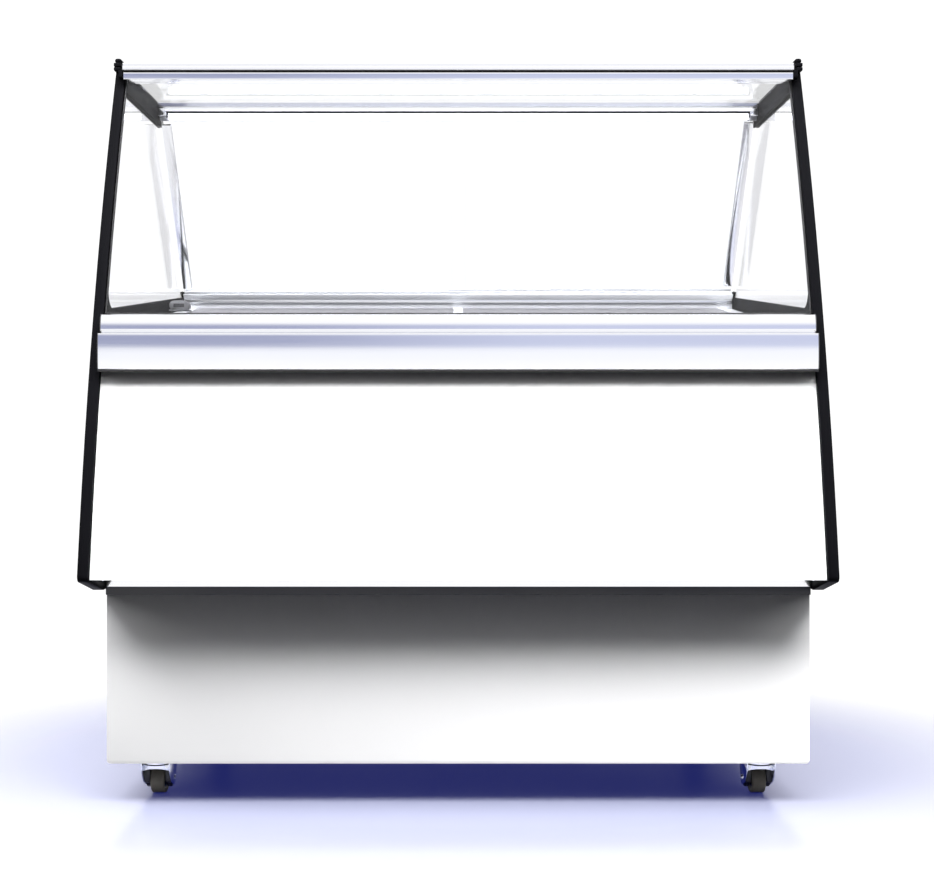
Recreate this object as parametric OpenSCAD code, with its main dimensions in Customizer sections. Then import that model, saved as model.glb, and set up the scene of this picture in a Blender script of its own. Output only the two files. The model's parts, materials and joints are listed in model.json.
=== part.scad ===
// Refrigerated deli case: a glazed counter with an overhanging curved front, on swivel casters.
// Millimetres. +X to the shopper's right, +Y to the serving side, +Z up.
// The origin is on the floor, at the middle of the footprint.
// Cross-sections are drawn as [distance behind the lip, height] and extruded across the case.

/* [Case] */
// Overall width, over the two end panels
case_w = 1220; // [1000:1:1500]
// Overall depth, from the lip to the edge of the worktop
case_d = 870; // [780:1:1050]
// Overall height, floor to the top of the hinge brackets
case_h = 1290; // [1220:1:1560]
// Thickness of each end panel
panel_t = 17; // [14:0.5:24]
// Height of the base frame above the floor
caster_h = 74; // [74:1:100]

/* [Curved front] */
// Radius of the front curve
front_r = 4400; // [3600:50:6000]
// Lean of the curve where it leaves the lip, in degrees
front_lean = 9.5; // [8:0.1:11]
// Rounding of the lip
lip_r = 10; // [6:0.5:14]
// Height of the foremost point of the lip
lip_h = 400; // [385:1:420]
// Black border in front of the side glass
border_front = 20; // [16:1:26]
// Black border above the side glass
border_top = 43; // [30:1:60]
// Depth of the front panel behind the front edge of the frames
panel_inset = 10; // [3:1:11]
// Black border under the side glass
border_low = 40; // [25:1:50]
// Narrow edging round the lower end panel
edging = 14; // [10:1:20]
// Radius of the lower front corner of the side glass
window_r = 28; // [10:1:40]

/* [Plinth] */
// How far the plinth stands back from the lip
plinth_setback = 107; // [90:1:130]
// Underside of the insulated body above the floor
body_h = 370; // [365:1:378]
// Height of the dark band at the top of the plinth
band_h = 14; // [8:1:20]
// Bottom edge of the plinth above the floor
plinth_bottom = 72; // [66:1:73]
// Overhang of the worktop past the rear panel
rear_overhang = 18; // [17:1:30]
// Leg of the angle iron in the base frame
angle_leg = 35; // [25:1:40]
// Thickness of the angle iron
angle_t = 3; // [2:0.5:4]

/* [Counter] */
// Height of the top of the bumper
counter_h = 826; // [810:1:840]
// Height of the upper bumper profile
bumper_top_h = 33; // [26:1:36]
// Height of the lower bumper profile
bumper_low_h = 60; // [45:1:70]
// Depth of the upper bumper profile
bumper_top_d = 40; // [40:1:44]
// Depth of the lower bumper profile
bumper_low_d = 32; // [24:1:34]
// How far the bumper stands proud of the curve
bumper_proud = 20; // [12:1:24]
// Height of the rear sill and worktop underside
sill_h = 897; // [880:1:915]
// Distance of the foot of the doors from the back of the case
sill_back = 143; // [130:1:160]
// Thickness of the worktop
worktop_t = 3; // [2:0.5:4]
// Depth of the worktop's turned-down edge
worktop_lip = 28; // [15:1:32]

/* [Display deck] */
// Rise of the deck's front edge above the foot of the upper bumper profile
deck_rise = 4; // [3:0.5:8]
// Drop from the sill to the back of the deck
deck_step = 11; // [8:1:16]
// Width of the pale ledge at each end of the deck
deck_margin = 33; // [25:1:45]
// Thickness of the pan sheet
pan_t = 2; // [1.5:0.5:3]
// Depth of the turned-down edges of a pan
pan_flange = 18; // [10:1:25]
// Width of the rib between the two pans
rib_w = 20; // [14:1:30]
// Floor of the cold well above the floor of the room
well_floor = 430; // [425:1:480]
// Thickness of the well liner
liner_t = 1.5; // [1:0.5:2]

/* [Glass] */
// Thickness of the front glass
glass_t = 6; // [5:0.5:8]
// Thickness of the roof glass
roof_t = 5; // [4:0.5:6]
// Thickness of the side glass
side_t = 6; // [5:0.5:8]
// Thickness of a rear sliding door
door_t = 4; // [4:0.5:5]
// Distance from the front bar to the rear header
roof_span = 266; // [240:1:300]
// Overlap of the two closed doors
door_overlap = 36; // [20:1:60]
// Width of the grip on the edge of a door
grip_w = 19; // [14:1:26]

/* [Casters] */
// Diameter of a wheel
wheel_d = 50; // [44:1:50]
// Width of the tread
tread_w = 22; // [18:1:26]
// Outside width of a fork
fork_w = 50; // [46:1:54]
// Distance of the caster pivots from the end panels' outer faces
caster_inset_x = 90; // [80:1:140]
// Distance of the front pivots behind the lip
caster_front = 172; // [160:1:220]
// Distance of the rear pivots from the back of the case
caster_back = 88; // [85:1:140]
// Trail of a wheel behind its pivot
trail = 18; // [16:1:20]

/* [Machine] */
// Radius of the condenser fan
cond_fan_r = 92; // [70:1:96]
// Radius of the evaporator fan
evap_fan_r = 76; // [55:1:85]
// Radius of a fan motor's shaft
shaft_r = 3; // [2.5:0.5:4]
// Radius of the compressor shell
comp_r = 82; // [65:1:95]
// Radius of the bore in the cord gland
gland_bore_r = 5; // [3.5:0.5:6]
// Radius of the drain spigot
spigot_r = 12.5; // [10:0.5:14]

/* [Fits] */
// Radial running clearance of a shaft in its bore
run_gap = 0.05; // [0.02:0.01:0.1]
// Gap between pieces that are seated but not tight
seat = 0.3; // [0.2:0.05:0.5]
// Gap between the end panels and what stands between them
end_gap = 0.5; // [0.5:0.1:1]

/* [Hidden] */
$fn = 48;
arc_fn = 720;
sheet = 1.5;

// --- case outline ---
front = -case_d / 2;
out_x = case_w / 2;
in_x = out_x - panel_t;
mid_x = in_x - end_gap;
arc_c = [lip_r + (front_r - lip_r) * cos(front_lean), lip_h - (front_r - lip_r) * sin(front_lean)];
body_rear = case_d - rear_overhang;
skirt_low = body_h - 4;
hook_d = plinth_setback - 14;

// --- top bars and hinge ---
bracket_dome = panel_t / 2;
bar_h = 13;
frame_top = case_h - 13;
bar_top = case_h - 10;
bar_low = bar_top - bar_h;
bar_gap = 3.5;
clamp_h = 13;
clamp_top = bar_low - bar_gap;
hinge_h = clamp_top - clamp_h / 2;
bar_proud = 19;
hinge_d = face_d(hinge_h) - bar_proud + clamp_h / 2;
bar_d = hinge_d - clamp_h / 2 - 1;
bar_depth = 44;
bracket_d = 48;
hinge_r = 3;
lug_r = 6;
lug_t = 7;
spigot_l = 12;
glass_inset = 3;
roof_h = bar_low + 2.5;
slot = 8;

// --- bumper ---
bumper_mid = counter_h - bumper_top_h;
bumper_low = bumper_mid - bumper_low_h;
bump_top_d = face_d(counter_h - bumper_top_h / 2) - bumper_proud;
bump_top_rear = bump_top_d + bumper_top_d;
bump_low_d = face_d(bumper_mid - bumper_low_h / 2) - bumper_proud - 4;
bump_low_rear = bump_low_d + bumper_low_d;
seal_h = 3.2;
glass_low = counter_h + seat + seal_h;
glass_top = hinge_h + 2.5;

// --- rear doors, drawn in a leaning frame: n across the glass, s up along it ---
foot = [case_d - sill_back, sill_h + 10];
head = [bar_d + roof_span, frame_top];
lean = atan2(foot.x - head.x, head.y - foot.y);
bank = 28;
wall = 3;
channel = (bank - 3 * wall) / 2;
door_n = [wall + channel / 2, 2 * wall + 1.5 * channel];
track_base = 4;
head_cap = 3.5;
track_s = (frame_top - head_cap - loc(bank, 0).y) / cos(lean);
track_top_s = track_s - track_base;
header_low = max(bar_low - 4, loc(1, track_s).y);
wedge_drop = 6;
door_foot = seat;
door_head = track_top_s - 10;
door_w = mid_x + door_overlap / 2 - 1.5;
grip_t = 8;
led_top = min(header_low - 10, loc(0.5, track_s - wedge_drop).y - seat);
led_t = 3;
led_depth = 11;
led_end = 12;
rear_top = loc(bank, 0).x + (frame_top - loc(bank, 0).y) * (-tan(lean));

// --- deck and well ---
deck_d0 = bump_top_rear + 3;
deck_d1 = foot.x + 6;
deck_z0 = bumper_mid + deck_rise;
deck_z1 = sill_h - deck_step;
deck_m = (deck_z1 - deck_z0) / (deck_d1 - deck_d0);
pan_x = in_x - deck_margin;
well_x = pan_x - 15;
well_d0 = deck_d0 + 15;
well_d1 = deck_d1 - 13;
well_d0_low = well_d0 - 57;
rib_x = rib_w / 2;
pan_gap = 0.8;
base_x = rib_x + 12;

// --- casters ---
caster_x = out_x - caster_inset_x;
caster_ys = [front + caster_front, case_d / 2 - caster_back];
caster_places = [for (y = caster_ys, sx = [-1, 1]) [sx * caster_x, y]];
plate_t = 3;
race_h = 5;
crown_top = caster_h - plate_t - race_h - seat;
leg_t = 2.5;
axle_r = 4;
pivot_r = 5;
lever_y = trail + 16;
lever_z = wheel_d / 2 + 27;

// --- machine ---
evap_tube_x = 0.8 * well_x + 12;
evap_tube_z = well_floor + 45;
cond_x = -270;
cond_z = caster_h + 30 + 116;
cond_fan_y = case_d / 2 - rear_overhang - 118;
evap_fan_z = well_floor + 130;
evap_fan_y = 40;
comp_at = [150, 130];
floor_pan = caster_h + angle_t;
riser_at = [evap_tube_x + 32, -40];
drain_at = [well_x - 125, 230];
cond_tube_x = cond_fan_r + 30;
cond_tube_z = floor_pan + 30;
cond_tube_pitch = 34;
drain_z = 310;
gland_at = [out_x - 130, 140];
panel_at = [out_x - 165, sill_h - 70];
panel_size = [230, 72];
rocker_x = [-88, -60];
rocker_size = [18, 26];
button_x = [20, 44, 68];
button_r = 5;
grille_rows = 14;

// ---------- shared shapes ----------

// Distance of the front curve behind the lip at a height, moved in by an inset.
function face_d(z, inset = 0) = arc_c.x - sqrt(pow(front_r - inset, 2) - pow(z - arc_c.y, 2));

// A place in the leaning frame of the doors.
function loc(n, s) = foot + [n * cos(lean) - s * sin(lean), n * sin(lean) + s * cos(lean)];

// Height of the deck's top surface.
function deck_z(d) = deck_z0 + (d - deck_d0) * deck_m;

// Where a line first meets a circle.
function meet(p, dir, c, r) = let (q = p - c, b = q * dir) p - dir * (b + sqrt(b * b - q * q + r * r));

// Extrudes a cross-section from one side of the case towards the other.
module across(x0, x1) {
    translate([x0, front, 0])
        rotate([90, 0, 90])
            linear_extrude(x1 - x0)
                children();
}

// Both end panels' copies of a shape that is drawn for the right end.
module both_ends() {
    children();
    mirror([1, 0, 0])
        children();
}

// Everything behind the front curve.
module behind_front(inset = 0) {
    translate(arc_c)
        circle(front_r - inset, $fn = arc_fn);
}

// A strip that follows the front curve between two heights.
module front_strip(inset, t, z0, z1) {
    intersection() {
        difference() {
            behind_front(inset);
            behind_front(inset + t);
        }
        translate([-50, z0])
            square([case_d / 2, z1 - z0]);
    }
}

// Rectangle in the leaning frame of the doors.
module leaning(n, s) {
    translate(foot)
        rotate(lean)
            translate([n[0], s[0]])
                square([n[1] - n[0], s[1] - s[0]]);
}

module box(low, high) {
    translate(low)
        cube(high - low);
}

module rod_x(x0, x1, r) {
    translate([x0, 0, 0])
        rotate([0, 90, 0])
            cylinder(h = x1 - x0, r = r);
}

module rod_y(y0, y1, r) {
    translate([0, y0, 0])
        rotate([-90, 0, 0])
            cylinder(h = y1 - y0, r = r);
}

// The part of a square corner that lies outside a fillet of radius r, at the origin.
module corner_waste(r) {
    difference() {
        translate([-1, -1])
            square(r + 1);
        translate([r, r])
            circle(r);
    }
}

// ---------- base ----------

module angle_x(y_out, z_out, dir_y, dir_z) {
    x = mid_x - 3;
    y = [min(y_out, y_out + dir_y * angle_leg), max(y_out, y_out + dir_y * angle_leg)];
    z = [min(z_out, z_out + dir_z * angle_t), max(z_out, z_out + dir_z * angle_t)];
    yt = [min(y_out, y_out + dir_y * angle_t), max(y_out, y_out + dir_y * angle_t)];
    zt = [min(z_out, z_out + dir_z * angle_leg), max(z_out, z_out + dir_z * angle_leg)];
    box([-x, y[0], z[0]], [x, y[1], z[1]]);
    box([-x, yt[0], zt[0]], [x, yt[1], zt[1]]);
}

module base_frame() {
    x = mid_x - 3;
    y0 = front + plinth_setback + sheet;
    y1 = front + body_rear;
    color("dimgray") {
        angle_x(y0, caster_h, 1, 1);
        angle_x(y1, caster_h, -1, 1);
        angle_x(y0, body_h, 1, -1);
        angle_x(y1, body_h, -1, -1);
        for (sx = [-1, 1]) {
            xa = sx > 0 ? x - angle_leg : -x;
            xb = sx > 0 ? x - angle_t : -x;
            box([xa, y0, caster_h], [xa + angle_leg, y1, caster_h + angle_t]);
            box([xb, y0, caster_h], [xb + angle_t, y1, caster_h + angle_leg]);
            box([xa, y0, body_h - angle_t], [xa + angle_leg, y1, body_h]);
            box([xb, y0, body_h - angle_leg], [xb + angle_t, y1, body_h]);
            for (y = [y0, y1 - angle_leg])
                box([xb, y, caster_h], [xb + angle_t, y + angle_leg, body_h]);
            for (y = [y0, y1 - angle_t])
                box([xa, y, caster_h], [xa + angle_leg, y + angle_t, body_h]);
        }
        box([-x, y0, caster_h], [x, y1, floor_pan]);
    }
}

module plinth_panel() {
    x = mid_x - 1.5;
    top = body_h - band_h;
    y0 = front + plinth_setback;
    y1 = front + body_rear;
    r = 6;
    color("white")
        difference() {
            box([-x, y0, plinth_bottom], [x, y1, top]);
            box([-x + sheet, y0 + sheet, plinth_bottom - 1], [x - sheet, y1 + 1, top + 1]);
            for (sx = [0, 1])
                mirror([sx, 0, 0])
                    translate([-x, y0 - 1, plinth_bottom])
                        rotate([90, 0, 180])
                            mirror([1, 0, 0])
                                linear_extrude(case_d)
                                    corner_waste(r);
        }
}

module plinth_band() {
    y0 = front + plinth_setback - 2;
    y1 = front + body_rear;
    color("darkslategray")
        difference() {
            box([-mid_x, y0, body_h - band_h], [mid_x, y1, body_h]);
            box([-mid_x + 3, y0 + 3.5, body_h - band_h - 1], [mid_x - 3, y1 + 1, body_h + 1]);
        }
}

module rear_grille() {
    x = mid_x - 3;
    y = front + body_rear;
    pitch = (body_h - plinth_bottom - 96) / grille_rows;
    color("gainsboro")
        difference() {
            box([-x, y, plinth_bottom + 2], [x, y + sheet, body_h - 2]);
            for (sx = [-1, 0], i = [0:grille_rows - 1])
                box([sx * 470 + 60, y - 1, plinth_bottom + 60 + i * pitch],
                    [sx * 470 + 350, y + 3, plinth_bottom + 66 + i * pitch]);
            translate([gland_at.x, y, gland_at.y])
                rod_y(-1, 3, gland_bore_r + 5.2);
            translate([drain_at.x, y, drain_z])
                rod_y(-1, 3, spigot_r + 3.7);
        }
}

module caster_plates() {
    color("silver")
        for (p = caster_places)
            translate([p.x, p.y, 0]) {
                difference() {
                    box([-38, -31, caster_h - plate_t], [38, 31, caster_h]);
                    for (sx = [-1, 1], sy = [-1, 1])
                        translate([sx * 30, sy * 23, caster_h - 10])
                            cylinder(h = 12, r = 3.3);
                }
                translate([0, 0, caster_h - plate_t - race_h])
                    cylinder(h = race_h, r = 24);
                translate([0, 0, crown_top - 8])
                    cylinder(h = 10, r = pivot_r);
                translate([0, 0, crown_top - 9.5])
                    cylinder(h = 3, r = 8);
            }
}

module fork(p) {
    cheek = [[-24, crown_top], [38, crown_top], [42, 52], [38, 44], [trail + 16, 26],
             [trail + 8, 15], [trail - 8, 15], [-22, 40]];
    inside = fork_w / 2 - leg_t;
    color("lightgray")
        translate([p.x, p.y, 0]) {
            difference() {
                translate([-fork_w / 2, 0, 0])
                    rotate([90, 0, 90])
                        linear_extrude(fork_w)
                            polygon(cheek);
                translate([-inside, 0, 0])
                    rotate([90, 0, 90])
                        linear_extrude(2 * inside)
                            polygon([[-21.5, crown_top - 5.5], [80, crown_top - 5.5], [80, -5],
                                     [-40, -5], [-40, 38], [-19.5, 38]]);
                translate([0, 0, crown_top - 10])
                    cylinder(h = 20, r = pivot_r + run_gap);
            }
            translate([0, trail, wheel_d / 2])
                rod_x(-fork_w / 2 - 1.5, fork_w / 2 + 1.5, axle_r);
            translate([0, lever_y, lever_z])
                rod_x(-inside - 1, inside + 1, 2.5);
            for (sx = [-1, 1])
                translate([sx * (fork_w / 2 + 1.5), trail, wheel_d / 2])
                    rod_x(-1.5, 1.5, axle_r + 2.5);
        }
}

module wheel(p) {
    r = wheel_d / 2;
    half = tread_w / 2;
    hub_x = fork_w / 2 - leg_t - 1;
    color("dimgray")
        translate([p.x, p.y + trail, r])
            rotate([0, 90, 0])
                rotate_extrude($fn = 96)
                    difference() {
                        union() {
                            translate([axle_r + run_gap, -hub_x])
                                square([5, 2 * hub_x]);
                            translate([axle_r + run_gap, -half - 4])
                                square([r - 10 - axle_r, tread_w + 8]);
                            translate([axle_r + run_gap, -half + 3])
                                square([r - axle_r - run_gap, tread_w - 6]);
                            translate([axle_r + run_gap, -half])
                                square([r - 3 - axle_r - run_gap, tread_w]);
                            for (s = [-1, 1])
                                translate([r - 3, s * (half - 3)])
                                    circle(3);
                        }
                        translate([r - 9, half + 1])
                            square([3, 10]);
                    }
}

module brake(p) {
    inside = fork_w / 2 - leg_t - 1;
    color("black")
        translate([p.x, p.y, 0])
            difference() {
                union() {
                    translate([0, lever_y, lever_z])
                        rod_x(-inside, inside, 4.6);
                    translate([0, lever_y - 0.4, lever_z - 3.6])
                        rod_x(-9, 9, 2);
                    box([-17, lever_y + 2, lever_z - 0.5], [17, lever_y + 32, lever_z + 3]);
                }
                translate([0, lever_y, lever_z])
                    rod_x(-40, 40, 2.5 + run_gap);
            }
}

// ---------- insulated body ----------

module front_panel() {
    z0 = lip_h - 5;
    d0 = face_d(z0, panel_inset);
    d1 = plinth_setback - 2;
    color("white")
        across(-mid_x, mid_x) {
            front_strip(panel_inset, sheet, z0, bumper_low);
            polygon([[d0, z0], [d1, body_h], [d1, body_h + sheet], [d0, z0 + sheet]]);
        }
}

module rear_panel() {
    y = front + body_rear;
    color("white")
        difference() {
            box([-mid_x, y - sheet, body_h], [mid_x, y, sill_h - liner_t]);
            control_pocket(1);
        }
}

module control_pocket(grow) {
    w = panel_size.x / 2 - 9 + grow;
    h = panel_size.y / 2 - 7 + grow;
    box([panel_at.x - w, front + body_rear - 40 - grow, panel_at.y - h],
        [panel_at.x + w, front + body_rear + 1, panel_at.y + h]);
}

// Outside of the well liner, as far up as a height line above the deck.
module well_outline(t, lift) {
    polygon([[well_d0 - t, deck_z(well_d0) + lift], [well_d0_low - t, well_floor - t],
             [well_d1 + t, well_floor - t], [well_d1 + t, deck_z(well_d1) + lift]]);
}

module insulation() {
    ledge = -pan_t - liner_t;
    z0 = lip_h - 5 + sheet;
    d0 = face_d(lip_h - 5, panel_inset);
    color("khaki")
        difference() {
            across(-mid_x, mid_x)
                difference() {
                    intersection() {
                        behind_front(panel_inset + sheet);
                        polygon([[d0 - 20, z0], [d0, z0], [plinth_setback - 2, body_h + sheet],
                                 [plinth_setback - 2, body_h], [body_rear - sheet, body_h],
                                 [body_rear - sheet, sill_h - liner_t],
                                 [deck_d1 + 1 + liner_t, sill_h - liner_t],
                                 [deck_d1 + 1 + liner_t, deck_z(deck_d1) + ledge],
                                 [bump_top_rear, deck_z(bump_top_rear) + ledge],
                                 [bump_top_rear, bumper_mid], [d0 - 20, bumper_mid]]);
                    }
                    translate([-50, bumper_low - seat])
                        square([50 + bump_low_rear + seat, bumper_low_h + seat]);
                }
            across(-well_x - liner_t, well_x + liner_t)
                well_outline(liner_t, 20);
            translate([drain_at.x, drain_at.y, body_h - 1])
                cylinder(h = 100, r = spigot_r + 3.7);
            translate([riser_at.x, riser_at.y, body_h - 1])
                cylinder(h = 100, r = 8.2);
            control_pocket(1);
        }
}

module well_liner() {
    top = -pan_t;
    color("whitesmoke")
        difference() {
            union() {
                across(-mid_x, mid_x)
                    polygon([[bump_top_rear, deck_z(bump_top_rear) + top],
                             [bump_top_rear, deck_z(bump_top_rear) + top - liner_t],
                             [deck_d1 + 1 + liner_t, deck_z(deck_d1) + top - liner_t],
                             [deck_d1 + 1 + liner_t, sill_h - liner_t],
                             [body_rear - sheet, sill_h - liner_t], [body_rear - sheet, sill_h],
                             [deck_d1 + 1, sill_h], [deck_d1 + 1, deck_z(deck_d1) + top]]);
                across(-well_x - liner_t, well_x + liner_t)
                    well_outline(liner_t, top - liner_t / 2);
            }
            across(-well_x, well_x)
                well_outline(0, 20);
            translate([drain_at.x, drain_at.y, well_floor - 10])
                cylinder(h = 20, r = spigot_r + 3.7);
            translate([riser_at.x, riser_at.y, well_floor - 10])
                cylinder(h = 20, r = 8.2);
        }
}

module drain_pipe() {
    r = spigot_r + 3.5;
    color("gray")
        translate([drain_at.x, drain_at.y, 0]) {
            difference() {
                union() {
                    translate([0, 0, drain_z])
                        cylinder(h = well_floor - drain_z, r = r);
                    translate([0, 0, well_floor])
                        cylinder(h = 2, r = r + 6);
                    translate([0, 0, drain_z])
                        sphere(r);
                    translate([0, 0, drain_z])
                        rod_y(0, front + body_rear + sheet - drain_at.y, r);
                    translate([0, 0, drain_z])
                        rod_y(0, case_d / 2 - 1 - drain_at.y, spigot_r);
                }
                translate([0, 0, drain_z])
                    cylinder(h = 200, r = spigot_r - 2.5);
                translate([0, 0, drain_z])
                    rod_y(0, case_d, spigot_r - 2.5);
            }
        }
}

// ---------- end panels ----------

// Line along the bottom of the side glass.
low_line_z = counter_h - 4;
low_line_m = (foot.y - low_line_z) / foot.x;

function low_line(d, drop = 0) = low_line_z + d * low_line_m - drop;

// Where that line meets the leaning rear edge that passes through p.
function rear_cut(p, drop) =
    let (x = (p.x - (low_line_z - drop - p.y) * tan(lean)) / (1 + low_line_m * tan(lean)))
    [x, low_line(x, drop)];

// Outline of a whole end panel.
module end_outline() {
    lip_c = [lip_r, lip_h];
    hook = [hook_d, skirt_low];
    ray = hook - lip_c;
    turn = asin(lip_r / norm(ray));
    reach = sqrt(ray * ray - lip_r * lip_r);
    touch = hook - reach * [cos(atan2(ray.y, ray.x) + turn), sin(atan2(ray.y, ray.x) + turn)];
    shoulder = 60;
    difference() {
        union() {
            intersection() {
                behind_front();
                polygon([lip_c, lip_c + shoulder * [-cos(front_lean), sin(front_lean)],
                         [-shoulder, bar_low + 1], [hinge_d - clamp_h / 2 + bracket_d, bar_low + 1],
                         [hinge_d - clamp_h / 2 + bracket_d, frame_top], [rear_top, frame_top],
                         loc(bank, 0), [case_d, loc(bank, 0).y], [case_d, skirt_low], hook, touch]);
            }
            translate(lip_c)
                circle(lip_r);
        }
        translate([case_d, skirt_low])
            mirror([1, 0])
                corner_waste(24);
        translate([case_d, loc(bank, 0).y])
            mirror([1, 0])
                mirror([0, 1])
                    corner_waste(12);
    }
}

// Outline of the side window; grow enlarges it for the glass that sits in the groove.
module window_outline(grow) {
    inset = border_front - grow;
    drop = grow;
    dir = [1, low_line_m] / norm([1, low_line_m]);
    up = [-dir.y, dir.x];
    base = [0, low_line(0, drop)];
    knee = meet(base, dir, arc_c, front_r - inset);
    fillet = meet(base + window_r * up, dir, arc_c, front_r - inset - window_r);
    out = (fillet - arc_c) / norm(fillet - arc_c);
    top = frame_top - border_top + grow;
    rear_low = loc(bank, 0) + [grow == slot ? 0 : 0.4, 0];
    difference() {
        intersection() {
            behind_front(inset);
            polygon([[0, low_line(0, drop)], [0, top],
                     [rear_low.x - (top - rear_low.y) * tan(lean), top], rear_cut(rear_low, drop)]);
        }
        difference() {
            polygon([knee - 2 * (dir + up), fillet - (window_r + 2) * up, fillet,
                     fillet + (window_r + 2) * out, knee - 2 * (dir - up)]);
            translate(fillet)
                circle(window_r);
        }
    }
}

// Outline of the pale lower panel.
module lower_outline(shrink) {
    rear = case_d - edging - shrink;
    low = skirt_low + edging + shrink;
    intersection() {
        behind_front(border_front + shrink);
        polygon([[border_front + shrink, lip_h + 4 + shrink], [hook_d, low], [rear, low],
                 [rear, min(low_line(rear, border_low + shrink), loc(bank, 0).y - edging - shrink)],
                 [foot.x, min(low_line(foot.x, border_low + shrink), loc(bank, 0).y - edging - shrink)],
                 [0, low_line(0, border_low + shrink)], [0, lip_h + 4 + shrink]]);
    }
}

module side_frames() {
    groove = side_t + 0.4;
    color("black")
        both_ends()
            difference() {
                across(in_x, out_x)
                    end_outline();
                across(in_x - 1, out_x + 1)
                    window_outline(0);
                across(in_x + (panel_t - groove) / 2, in_x + (panel_t + groove) / 2)
                    window_outline(slot + 0.2);
                across(in_x - 1, out_x + 1)
                    lower_outline(0);
            }
}

module side_glasses() {
    color("lightcyan", 0.4)
        both_ends()
            across(in_x + (panel_t - side_t) / 2, in_x + (panel_t + side_t) / 2)
                window_outline(slot);
}

module end_panels() {
    color("white")
        both_ends()
            across(in_x + 1, out_x - 1)
                lower_outline(seat);
}

module hinge_brackets() {
    d0 = hinge_d - clamp_h / 2 - 1.5;
    d1 = hinge_d - clamp_h / 2 + bracket_d;
    base = bar_low + 1;
    color("black")
        both_ends() {
            intersection() {
                across(in_x, out_x)
                    difference() {
                        translate([d0, base])
                            square([d1 - d0, case_h - base]);
                        translate([d0, case_h])
                            mirror([0, 1])
                                corner_waste(9);
                        translate([d1, case_h])
                            mirror([0, 1])
                                mirror([1, 0])
                                    corner_waste(9);
                    }
                translate([0, case_d / 2, 0])
                    rotate([90, 0, 0])
                        linear_extrude(case_d) {
                            translate([in_x + bracket_dome, case_h - bracket_dome])
                                circle(bracket_dome);
                            translate([in_x, base - 1])
                                square([panel_t, case_h - bracket_dome - base + 1]);
                        }
            }
            across(in_x, in_x + lug_t) {
                translate([hinge_d, hinge_h])
                    circle(lug_r);
                translate([hinge_d - lug_r, hinge_h])
                    square([2 * lug_r, base - hinge_h]);
            }
            translate([0, front + hinge_d, hinge_h])
                rod_x(in_x - spigot_l, in_x + 1, hinge_r);
        }
}

// ---------- counter and front glass ----------

module bumper_upper() {
    r = 9;
    color("lightsteelblue")
        across(-mid_x, mid_x)
            difference() {
                translate([bump_top_d, bumper_mid])
                    square([bumper_top_d, bumper_top_h]);
                translate([bump_top_d, counter_h])
                    mirror([0, 1])
                        corner_waste(r);
                translate([bump_top_d + 3, bumper_mid + 3])
                    square([bumper_top_d - 6, bumper_top_h - 12]);
            }
}

module bumper_lower() {
    color("lightsteelblue")
        across(-mid_x, mid_x)
            difference() {
                translate([bump_low_d, bumper_low])
                    square([bumper_low_d, bumper_low_h]);
                translate([bump_low_d, bumper_mid])
                    mirror([0, 1])
                        corner_waste(7);
                translate([bump_low_d, bumper_low])
                    corner_waste(5);
                translate([bump_low_d + 3, bumper_low + 6])
                    square([bumper_low_d - 6, bumper_low_h - 14]);
            }
}

module front_glass() {
    color("lightcyan", 0.35)
        across(-mid_x + 2, mid_x - 2)
            front_strip(glass_inset, glass_t, glass_low, glass_top);
}

module front_glass_clamp() {
    x = mid_x - 1.5;
    rear = face_d(clamp_top, glass_inset + glass_t) + 5;
    color("lightsteelblue")
        difference() {
            across(-x, x)
                difference() {
                    union() {
                        translate([hinge_d, hinge_h])
                            circle(clamp_h / 2);
                        translate([hinge_d, clamp_top - clamp_h])
                            square([rear - hinge_d, clamp_h]);
                    }
                    front_strip(glass_inset - 0.1, glass_t + 0.2, clamp_top - clamp_h - 1, glass_top + 0.2);
                }
            for (sx = [-1, 1])
                translate([sx * x, front + hinge_d, hinge_h])
                    rod_x(-spigot_l, spigot_l, hinge_r + run_gap);
        }
}

module front_glass_seal() {
    d0 = face_d(glass_low, glass_inset) - 1;
    color("black")
        across(-mid_x + 2, mid_x - 2)
            translate([d0, counter_h + seat])
                square([glass_t + 2.6, seal_h]);
}

// ---------- roof and rear ----------

module roof_bar() {
    color("lightsteelblue")
        across(-mid_x, mid_x)
            difference() {
                translate([bar_d, bar_low])
                    square([bar_depth, bar_h]);
                translate([bar_d, bar_top])
                    mirror([0, 1])
                        corner_waste(4);
                translate([bar_d + bar_depth - slot, roof_h - seat])
                    square([slot + 1, roof_t + 2 * seat]);
            }
}

module roof_glass() {
    color("lightcyan", 0.35)
        across(-mid_x, mid_x)
            translate([bar_d + bar_depth - slot + seat, roof_h])
                square([head.x + 2 + slot - seat - (bar_d + bar_depth - slot + seat), roof_t]);
}

module rear_header() {
    n_low = (header_low - loc(0, track_s).y) / sin(lean);
    color("lightsteelblue")
        across(-mid_x, mid_x)
            difference() {
                polygon([[head.x + 2, frame_top], [rear_top, frame_top], loc(bank, track_s),
                         loc(n_low, track_s), [head.x + 2, header_low]]);
                translate([head.x + 1, roof_h - seat])
                    square([slot + 1, roof_t + 2 * seat]);
            }
}

module door_tracks() {
    n_low = (header_low - loc(0, track_s).y) / sin(lean);
    color("black") {
        across(-mid_x, mid_x) {
            leaning([0, bank], [track_top_s, track_s]);
            for (i = [0:2])
                leaning([i * (wall + channel), i * (wall + channel) + wall], [track_top_s - 18, track_s]);
        }
        across(-mid_x + led_end, mid_x - led_end)
            polygon([[head.x + 3, header_low - 8], [head.x + 3, header_low], loc(n_low, track_s),
                     loc(0.5, track_s), loc(0.5, track_s - wedge_drop)]);
        across(-mid_x, mid_x) {
            leaning([0, bank], [-track_base, 0]);
            for (i = [0:2])
                leaning([i * (wall + channel), i * (wall + channel) + wall], [-track_base, 9]);
        }
    }
}

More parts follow.
